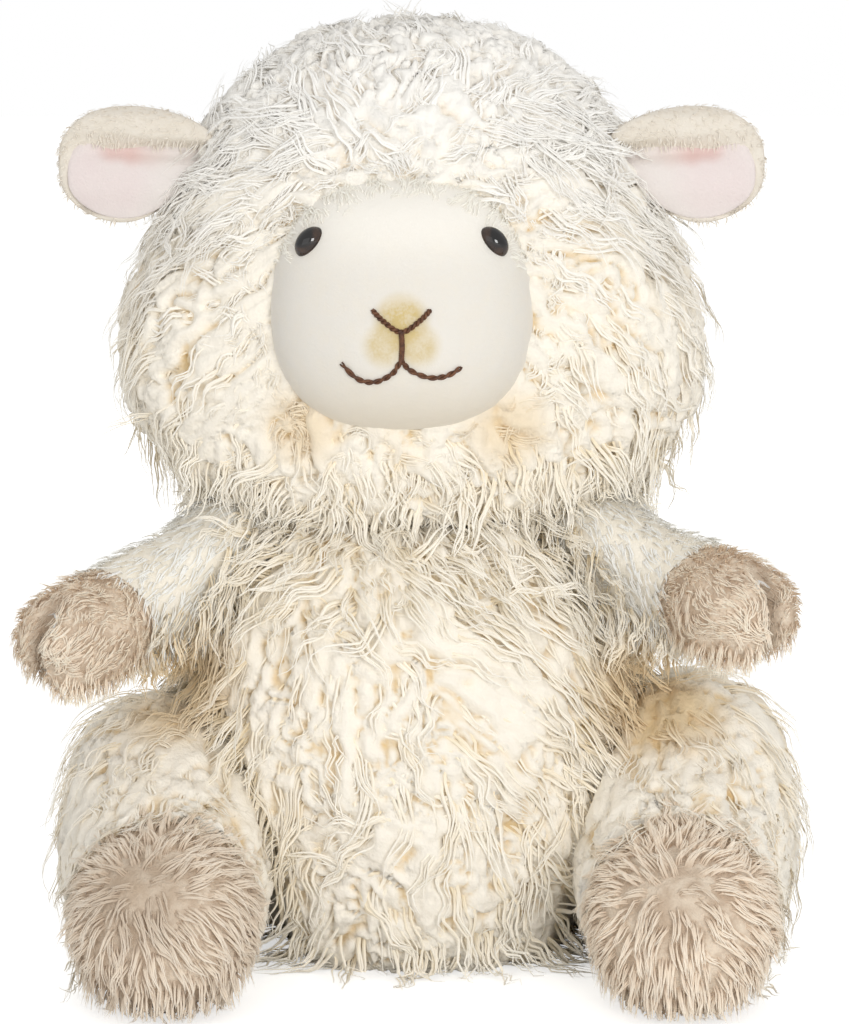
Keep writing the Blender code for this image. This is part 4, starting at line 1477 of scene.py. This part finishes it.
def add_hood(wool, fluff, forms):
    base = smooth_form(hood_rings(), 12, 5, room=hood_room)
    carve_fleece(base, hood_flow)
    slice_off(base, Vector((0, 0, HEAD_FLOOR - HOOD_FALL)), DOWN)
    piece = object_from(base, "hood_fleece")
    finish_piece(piece, "head", fluff, ["hood_cover"])

    def length(place):
        near_face = ease(rim_distance(place), 0.012, 0.002) * ease(place.y, -0.01, -0.03)
        long = 0.029 - 0.011 * ease(place.z, 0.20, 0.235) - 0.007 * ease(place.z, 0.150, 0.130)
        return long * (1 - 0.45 * near_face)

    def lift(place):
        return 0.0064 - 0.0010 * ease(place.z, 0.20, 0.24) + 0.002 * ease(place.z, 0.155, 0.135)

    def stray(place):
        return 0.28 + 0.10 * ease(place.z, 0.20, 0.235) + 0.35 * ease(place.z, 0.155, 0.135)

    hood = forms["hood"]
    grow(
        "hood_wool_strands",
        "head",
        hood,
        "locks",
        hood_flow,
        wool,
        length=length,
        lift=lift,
        stray=stray,
    )

    def round_face(place):
        return place.y < FACE.y + 0.006 and rim_distance(place) < 0.009

    for name, cloth, flow, where, changes in (
        (
            "face_ruff",
            forms["ruff"],
            ruff_flow,
            round_face,
            dict(length=0.0110, lift=0.0048, stray=0.8, spacing=0.0024, width=0.0007),
        ),
        (
            "hood_rim_wool",
            hood,
            hood_flow,
            lambda place: place.z < 0.142,
            dict(length=0.018, lift=0.0075, stray=0.6, spacing=0.0038, per_lock=5, width=0.0007),
        ),
        (
            "crown_wool",
            hood,
            crown_flow,
            lambda place: place.z > 0.205,
            dict(length=0.012, lift=0.0050, stray=0.5, spacing=0.0054, per_lock=6, width=0.0006),
        ),
    ):
        grow(name, "head", cloth, "wisps", flow, wool, where=where, **changes)


def add_leg(side, wool, fluff, forms):
    seat, facing = leg_seat(side)
    inner = THIGH_OUT[side] - THIGH_WIDTH[side] * 0.28
    foot = smooth_form(leg_rings(side), 10)
    base = smooth_form(leg_rings(side), 10, 4)
    puff_thigh(base)
    carve_fleece(base, leg_flow(side), 0.85)
    for vert in base.verts:
        vert.co.z = max(vert.co.z, LEG_REST)
    slice_off(base, seat + facing * GAP / 3, -facing)
    slice_off(base, Vector((0, ANKLE, 0)), Vector((0, -1, 0)))
    piece = object_from(base, f"thigh_fleece_{side}")
    finish_piece(piece, f"leg_{side}", fluff, [f"leg_sleeve_{side}"])
    fur_ground = fur_ground_material(f"foot ground {side}", whorl_shade(side))
    fur = fur_material(f"foot fur {side}", FOOT_SIDE_PAINTED_LIGHT[side], whorl_shade(side))
    slice_off(foot, Vector((0, ANKLE - GAP, 0)), Vector((0, 1, 0)))
    piece = object_from(foot, f"foot_form_{side}")
    finish_piece(piece, f"leg_{side}", fur_ground, [f"foot_{side}"])

    def length(place):
        beside_torso = ease(abs(place.x), inner, inner - 0.006)
        return (0.027 - 0.007 * ease(place.y, -0.015, -0.045)) * (1 - 0.45 * beside_torso)

    def lift(place):
        beside_torso = ease(abs(place.x), inner, inner - 0.006)
        return (0.0074 - 0.0026 * ease(place.y, -0.015, -0.045)) * (1 - 0.5 * beside_torso)

    body = f"leg_{side}"
    thigh = f"thigh_wool_{side}_strands"
    grow(thigh, body, forms[body], "locks", leg_flow(side), wool, length=length, lift=lift)
    fur_flow = whorl_flow(whorl_place(side), 0.45)
    cloth = forms[f"foot_{side}"]
    grow(f"foot_fur_{side}", body, cloth, "fur", fur_flow, fur, "fur", length=0.0090, lift=0.0032)


def toe_crease(side):
    """Where the paw's two toes part, the way across them and the way ahead."""
    _, _, wrist, ahead = arm_route(side)
    across, _ = ring_frame(ahead, PAW_ROLLS[side])
    outward = across if across.x * SIDES[side] > 0 else -across
    middle = wrist + ahead * (PAW_LENGTH - CLEFT_DEPTH) + outward * PAW_WIDTH / 2 * CLEFT_SIDE_SHARE
    return middle, outward, ahead


def part_toes(bm, side):
    """Parts the tip of the paw into its two toes."""
    middle, outward, ahead = toe_crease(side)
    for vert in bm.verts:
        offset = vert.co - middle
        near = math.exp(-((offset.dot(outward) / (CLEFT_WIDTH / 2)) ** 2))
        deep = ease(offset.dot(ahead), -0.004, 0.010)
        vert.co -= vert.normal * near * deep * CLEFT_FOLD


def puff_thigh(bm):
    """Heaps the wool up on the thigh, beside the paw."""
    for vert in bm.verts:
        above = ease(vert.normal.z, 0.2, 0.9)
        along = ease(vert.co.y, -0.045, -0.015) * ease(vert.co.y, 0.035, 0.010)
        vert.co += vert.normal * THIGH_PUFF * above * along
    bm.normal_update()


def puff_shoulder(bm, side):
    """Fills the sleeve out towards the shoulder."""
    seat, facing = arm_seat(side)
    _, _, wrist, _ = arm_route(side)
    for vert in bm.verts:
        share = (vert.co - seat).dot(facing) / (wrist - seat).dot(facing)
        above = ease(vert.normal.z, -0.1, 0.8)
        vert.co += vert.normal * (0.002 + SHOULDER_PUFF * above) * (1 - ease(share, 0.35, 1.0))
    bm.normal_update()


def add_arm(side, wool, sleeve_pile, fuzz, forms):
    seat, facing = arm_seat(side)
    _, _, wrist, ahead = arm_route(side)
    sleeve = smooth_form(arm_rings(side), 10)
    puff_shoulder(sleeve, side)
    paw = sleeve.copy()
    slice_off(sleeve, seat + facing * GAP / 3, -facing)
    slice_off(sleeve, wrist, ahead)
    piece = object_from(sleeve, f"sleeve_{side}")
    finish_piece(piece, f"arm_{side}", sleeve_pile, [f"arm_sleeve_{side}"])
    part_toes(paw, side)
    fur_ground = fur_ground_material(f"paw ground {side}", crease_shade(side))
    fur = fur_material(f"paw fur {side}", 1.13, crease_shade(side))
    slice_off(paw, wrist + ahead * GAP, -ahead)
    piece = object_from(paw, f"paw_form_{side}")
    finish_piece(piece, f"arm_{side}", fur_ground, [f"paw_{side}"])
    grow(
        f"paw_fur_{side}",
        f"arm_{side}",
        forms[f"paw_{side}"],
        "fur",
        whorl_flow(wrist - ahead * 0.02, 0.25),
        fur,
        "fur",
        length=0.0058,
        lift=0.0023,
        spacing=0.0016,
        width=0.0004,
    )

    def down_arm(place):
        return clamp((place - seat).dot(facing) / (wrist - seat).dot(facing))

    def above_arm(place):
        return place.z > seat.lerp(wrist, down_arm(place)).z - 0.002

    def shoulder(place):
        return down_arm(place) < (0.42 if above_arm(place) else 0.85)

    grow(
        f"sleeve_fuzz_{side}",
        f"arm_{side}",
        forms[f"sleeve_{side}"],
        "fur",
        sleeve_flow(side),
        fuzz,
        "short_pile",
        length=0.0078,
        lift=0.0020,
        spacing=0.0023,
        per_lock=4,
    )
    grow(
        f"shoulder_wool_{side}",
        f"arm_{side}",
        forms[f"sleeve_{side}"],
        "wisps",
        sleeve_flow(side),
        wool,
        where=shoulder,
        length=lambda place: (0.020 if above_arm(place) else 0.015) - 0.005 * down_arm(place),
        lift=lambda place: 0.0125 - 0.0095 * ease(down_arm(place), 0.2, 0.75),
        stray=0.45,
        spacing=0.0034,
        per_lock=6,
    )


def front_of(tree, x, z):
    point, normal, _, _ = tree.ray_cast(Vector((x, -HOOD_WIDTH, z)), Vector((0, 1, 0)))
    return point, normal


def face_form(levels):
    """The face cushion: a soft muzzle, and dimples where the eyes are drawn in."""
    bm = smooth_form(face_rings(), 12, levels)
    eyes = [axis_of(f"eye_{side}", f"eye_washer_{side}")[0] for side in SIDES]
    for vert in bm.verts:
        across, up = vert.co.x - FACE.x, vert.co.z - FACE.z
        front = ease(vert.co.y, FACE.y - 0.020, FACE.y - 0.036)
        muzzle = math.exp(-((across / 0.0150) ** 2 + ((up + 0.0130) / 0.0120) ** 2))
        brow = math.exp(-((across / 0.0260) ** 2 + ((up - 0.0230) / 0.0090) ** 2))
        vert.co.y -= (0.0026 * muzzle + 0.0010 * brow) * front
        wide, high = abs(across) / FACE_WIDTH, abs(up) / FACE_HEIGHT
        if wide + high > 0.01:
            corner = (wide**FACE_SQUARENESS + high**FACE_SQUARENESS) ** (1 / FACE_SQUARENESS)
            squared = math.hypot(wide, high) / corner
            vert.co += Vector((across, 0, up)) * (squared - 1)
        vert.co.z += 0.0030 * ease(up, 0.012, 0.032)
        for eye in eyes:
            away = math.hypot(vert.co.x - eye.x, vert.co.z - eye.z)
            vert.co.y += 0.0009 * math.exp(-((away / 0.0062) ** 2))
    bm.normal_update()
    return bm


def brow_flow(place, up):
    away = Vector((place.x - FACE.x, 0, place.z - FACE.z)).normalized()
    return away + drift(place, 0.006, 0.8, 23.0)


def add_face(face_fuzz, forms):
    bm = face_form(4)
    nose_place, _ = front_of(forms["face"].tree, FACE.x, FACE.z - 0.0015)
    left, _ = front_of(forms["face"].tree, FACE.x - 0.0042, FACE.z - 0.0078)
    right, _ = front_of(forms["face"].tree, FACE.x + 0.0042, FACE.z - 0.0078)
    material = face_material(
        "face pile",
        (nose_place, 0.0084, 0.95),
        [(left, 0.0070, 0.72), (right, 0.0070, 0.72)],
    )
    piece = object_from(bm, "face_cushion")
    finish_piece(piece, "head", material, ["face_panel"])

    def upper_rim(place):
        if place.y > FACE.y - 0.008 or place.z < FACE.z + 0.012:
            return False
        return rim_distance(place) > -0.0045

    grow(
        "brow_fuzz",
        "head",
        forms["face"],
        "fur",
        brow_flow,
        face_fuzz,
        "face_plush",
        where=upper_rim,
        length=0.0048,
        lift=0.0010,
        spacing=0.0015,
        per_lock=3,
        width=0.0004,
    )


def axis_of(node, other):
    """The shared axis of two round CAD nodes: where the first one's top lies, and its way."""
    def middle(name):
        return np.mean([v.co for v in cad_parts[name].data.vertices], axis=0)

    points = np.array([v.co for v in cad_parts[node].data.vertices])
    way = middle(node) - middle(other)
    way /= np.linalg.norm(way)
    reach = (points @ way).max()
    middle_point = middle(node)
    top = middle_point + way * (reach - middle_point @ way)
    return Vector(top), Vector(way)


EYE_RADIUS = 0.0045
EYE_DOME = 0.0034
EYE_STEPS = 14
EYE_NARROW = 0.68
EYE_LEAN = math.radians(25)


def add_eye(side):
    top, facing = axis_of(f"eye_{side}", f"eye_washer_{side}")
    bm = bmesh.new()
    previous = None
    for i in range(EYE_STEPS + 1):
        angle = math.pi / 2 * i / EYE_STEPS
        vert = bm.verts.new((EYE_RADIUS * math.sin(angle), 0, EYE_DOME * (math.cos(angle) - 1)))
        if previous:
            bm.edges.new((previous, vert))
        previous = vert
    for radius, depth in ((EYE_RADIUS * 0.93, EYE_DOME + 0.0006), (0.0, EYE_DOME + 0.0006)):
        vert = bm.verts.new((radius, 0, -depth))
        bm.edges.new((previous, vert))
        previous = vert
    bmesh.ops.spin(
        bm,
        geom=bm.verts[:] + bm.edges[:],
        cent=(0, 0, 0),
        axis=(0, 0, 1),
        angle=math.tau,
        steps=48,
        use_merge=True,
    )
    bmesh.ops.remove_doubles(bm, verts=bm.verts, dist=0.00001)
    bmesh.ops.recalc_face_normals(bm, faces=bm.faces)
    lean = Matrix.Rotation(SIDES[side] * EYE_LEAN, 4, "Z")
    placed = Matrix.Translation(top) @ facing.to_track_quat("Z", "Y").to_matrix().to_4x4()
    narrow = Matrix.Diagonal((EYE_NARROW, 1, 1, 1))
    bmesh.ops.transform(bm, matrix=placed @ lean @ narrow, verts=bm.verts)
    piece = object_from(bm, f"eye_button_{side}")
    finish_piece(piece, "head", eye_material(f"eye plastic {side}", top, facing), [f"eye_{side}"])


NOSE_POINTS = (
    (-0.00725, 0.0010),
    (-0.0045, -0.0018),
    (0.0, -0.0045),
    (0.0045, -0.0018),
    (0.00725, 0.0010),
)
LIP_POINTS = ((0.0, -0.0045), (0.0002, -0.0080), (0.0, -0.0118))
MOUTH_POINTS = (
    (-0.0150, -0.0123),
    (-0.0108, -0.0162),
    (-0.0063, -0.0168),
    (-0.0021, -0.0146),
    (0.0000, -0.0118),
    (0.0021, -0.0138),
    (0.0068, -0.0157),
    (0.0113, -0.0154),
    (0.0150, -0.0133),
)
STITCHES = {"nose": NOSE_POINTS, "lip": LIP_POINTS, "mouth": MOUTH_POINTS}
THREAD_RADIUS = 0.00039


def thread_path(tree, points):
    """Where a stitched line lies on the face, about every 0.3 mm, with the normals."""
    guide = np.array([[(x + FACE.x, 0.0, z + FACE.z) for x, z in points]])
    shares = np.linspace(0, 1, 40)[None, :]
    flat = along_guides(guide, np.array([0]), shares)[0]
    seats = [front_of(tree, x, z) for x, _, z in flat]
    return [point for point, _ in seats], [normal for _, normal in seats]


def add_stitching(forms, thread):
    """Each line is two plies of thread twisted together."""
    for label, points in STITCHES.items():
        places, normals = thread_path(forms["face"].tree, points)
        curve = bpy.data.curves.new(label, "CURVE")
        curve.dimensions = "3D"
        curve.bevel_depth = THREAD_RADIUS
        curve.bevel_resolution = 2
        curve.use_fill_caps = True
        count = len(places)
        for ply in range(2):
            line = curve.splines.new("POLY")
            line.points.add(count * 3 - 3)
            for i, knot in enumerate(line.points):
                low = min(i // 3, count - 2)
                share = i / 3 - low
                place = places[low].lerp(places[low + 1], share)
                normal = normals[low].lerp(normals[low + 1], share).normalized()
                run = (places[low + 1] - places[low]).normalized()
                side = run.cross(normal)
                angle = i * 0.42 + ply * math.pi
                twist = (side * math.cos(angle) + normal * math.sin(angle)) * THREAD_RADIUS * 0.9
                knot.co = (*(place + normal * THREAD_RADIUS * 1.1 + twist), 1)
                end = min(i, len(line.points) - 1 - i) / 6
                knot.radius = 0.45 + 0.55 * clamp(end)
        tube = bpy.data.objects.new(label, curve)
        bpy.context.scene.collection.objects.link(tube)
        bm = bake(tube)
        bmesh.ops.remove_doubles(bm, verts=bm.verts, dist=0.000001)
        piece = object_from(bm, f"{label}_thread")
        finish_piece(piece, "head", thread, [f"{label}_stitching"])


def ear_seat(side, tree):
    sign = SIDES[side]
    start = Vector((sign * HOOD_WIDTH, -EAR_FORWARD, NECK.z + EAR_RISE))
    point, normal, _, _ = tree.ray_cast(start, Vector((-sign, 0, 0)))
    rising = Vector((0, -sign, 0)).cross(normal).normalized()
    return point + normal * EAR_THICKNESS / 2 * EAR_SEAM_SHARE, rising


def ear_rings(side, seat, span, height, thickness, forward):
    root, rising = seat
    start, end = span
    rings = []
    for along, high, thick in EAR_RING_SHARES:
        reach = start + (end - start) * along
        up = Vector((0, 0, 1)).slerp(rising, max(0, 1 - 2 * abs(reach)))
        centre = root + Vector((SIDES[side] * EAR_LENGTH * reach, -forward, 0))
        rings.append((centre, up, Vector((0, 1, 0)), height / 2 * high, thickness / 2 * thick))
    return rings


def add_ear(side, ear_pile, fuzz, wool, forms):
    seat = ear_seat(side, forms["hood"].tree)
    root = seat[0]
    sign = SIDES[side]
    body = f"ear_{side}"
    half = EAR_HEIGHT / 2
    back = smooth_form(ear_rings(side, seat, (0, 1), EAR_HEIGHT, EAR_THICKNESS, 0), 12)
    for vert in back.verts:
        reach = clamp((vert.co.x - root.x) * sign / EAR_LENGTH)
        rise = (vert.co.z - root.z) / half
        ahead = root.y - vert.co.y
        if ahead > 0:
            fold = 0.22 + 0.22 * reach
            roll = ease(rise, fold, fold + 0.22) * (1 - ease(rise, 0.74, 1.05)) * (1 - 0.5 * reach)
            dish = (1 - ease(abs(rise + 0.25), 0.44, 0.66)) * (1 - ease(reach, 0.78, 0.95))
            vert.co.y += dish * 0.0024 - roll * EAR_ROLL
    back.normal_update()
    lining = smooth_form(
        ear_rings(side, seat, (0.06, 0.93), EAR_HEIGHT * 0.78, 0.0036, 0.0010), 12
    )
    for vert in lining.verts:
        vert.co.z -= 0.14 * half
        reach = clamp((vert.co.x - root.x) * sign / EAR_LENGTH)
        rise = (vert.co.z - root.z) / half
        if root.y - vert.co.y > 0.0012:
            crease = math.exp(-(((rise - 0.16 - 0.1 * reach) / 0.12) ** 2))
            crease *= 1 - ease(reach, 0.60, 0.85)
            puff = (1 - ease(abs(rise + 0.32), 0.05, 0.5)) * 0.0011
            vert.co.y += crease * 0.0018 - puff
    lining.normal_update()
    cloth = Cloth(back, shy_of=[(Cloth(lining), 0.0002), (forms["hood"], 0.0)])
    piece = object_from(back, f"ear_shell_{side}")
    finish_piece(piece, body, ear_pile, [f"ear_back_{side}"])
    piece = object_from(lining, f"ear_inner_{side}")
    lining_pile = lining_material(f"pink ear lining {side}", side, root)
    finish_piece(piece, body, lining_pile, [f"ear_lining_{side}"])

    def outward(place, up):
        return Vector((sign * 0.8, 0, -0.35)) + drift(place, 0.008, 0.5, 17.0)

    grow(
        f"ear_fuzz_{side}",
        body,
        cloth,
        "fur",
        outward,
        fuzz,
        "short_pile",
        length=0.0026,
        lift=0.0006,
        spacing=0.0017,
        per_lock=3,
        width=0.0004,
    )

    def before_ear(place):
        """The hood beside the ear's root, from above it round its front."""
        apart = math.hypot(place.y + EAR_FORWARD + 0.004, place.z - NECK.z - EAR_RISE)
        return place.x * sign > 0 and apart < 0.022 and place.y < -EAR_FORWARD + 0.004

    def over_ear(place, up):
        return Vector((sign * 1.0, -0.15, -0.35)) + drift(place, 0.010, 0.5, 19.0)

    grow(
        f"ear_wisps_{side}",
        "head",
        forms["hood"],
        "wisps",
        over_ear,
        wool,
        where=before_ear,
        length=0.026,
        lift=0.0070,
        stray=0.40,
        spacing=0.0034,
        width=0.0007,
    )


def main():
    set_stage()
    set_camera()
    forms = {}
    forms["face"] = Cloth(face_form(4))
    hood = smooth_form(hood_rings(), 12, room=hood_room)
    forms["hood"] = Cloth(hood, [(Vector((0, 0, HEAD_FLOOR)), DOWN)], [(forms["face"], 0.0004)])
    for side in SIDES:
        seat, facing = leg_seat(side)
        leg = smooth_form(leg_rings(side), 10)
        puff_thigh(leg)
        ahead = Vector((0, -1, 0))
        ankle = Vector((0, ANKLE, 0))
        forms[f"leg_{side}"] = Cloth(leg, [(seat + facing * 0.001, -facing), (ankle, ahead)])
        forms[f"foot_{side}"] = Cloth(leg, [(ankle, -ahead)])
        arm = smooth_form(arm_rings(side), 10)
        puff_shoulder(arm, side)
        part_toes(arm, side)
        _, _, wrist, way = arm_route(side)
        forms[f"paw_{side}"] = Cloth(arm, [(wrist, -way)])
        seat, facing = arm_seat(side)
        forms[f"sleeve_{side}"] = Cloth(arm, [(wrist, way), (seat, -facing)])
    limbs = [forms[f"{limb}_{side}"] for limb in ("sleeve", "leg") for side in SIDES]
    torso = smooth_form(torso_rings(), 12, room=torso_room)
    forms["torso"] = Cloth(torso, torso_planes(), [(forms["hood"], 0.0)], limbs)
    forms["neck"] = Cloth(torso, torso_planes())
    forms["ruff"] = Cloth(hood, forms["hood"].planes, forms["hood"].shy_of, [forms["face"]])
    forms["hood"].covers = [forms["torso"], *limbs]

    wool = wool_material("wool strands", 4.0)
    fluff = fluff_material("wool ground")
    sleeve_fuzz = fuzz_material("sleeve fuzz", SLEEVE_WHITE)
    ear_fuzz = fuzz_material("ear fuzz", EAR_CREAM)
    # The brow's fuzz is painted as lit as the face's top
    face_fuzz = fuzz_material("face fuzz", FACE_PAINTED_LIGHT)
    sleeve_pile = pile_material("cream short pile", PILE_CREAM, SLEEVE_SHADE, 0.1)
    ear_pile = pile_material("ear pile", EAR_CREAM, EAR_SHADE, 0.1)
    thread = thread_material("brown thread")
    stuffing = pile_material("fibre filling", *FILLING_COLOURS, 0.0)
    cotton = pile_material("pellet bag cotton", *COTTON_COLOURS, 0.0)
    plastic = plastic_material("washer plastic", WASHER_WHITE)

    add_torso(wool, fluff, forms)
    add_hood(wool, fluff, forms)
    add_face(face_fuzz, forms)
    add_stitching(forms, thread)
    for side in SIDES:
        add_eye(side)
        add_ear(side, ear_pile, ear_fuzz, wool, forms)
        add_arm(side, wool, sleeve_pile, sleeve_fuzz, forms)
        add_leg(side, wool, fluff, forms)
    for name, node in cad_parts.items():
        inner = cotton if name == "pellet_bag" else plastic if "washer" in name else stuffing
        for slot in node.material_slots:
            slot.material = inner


main()
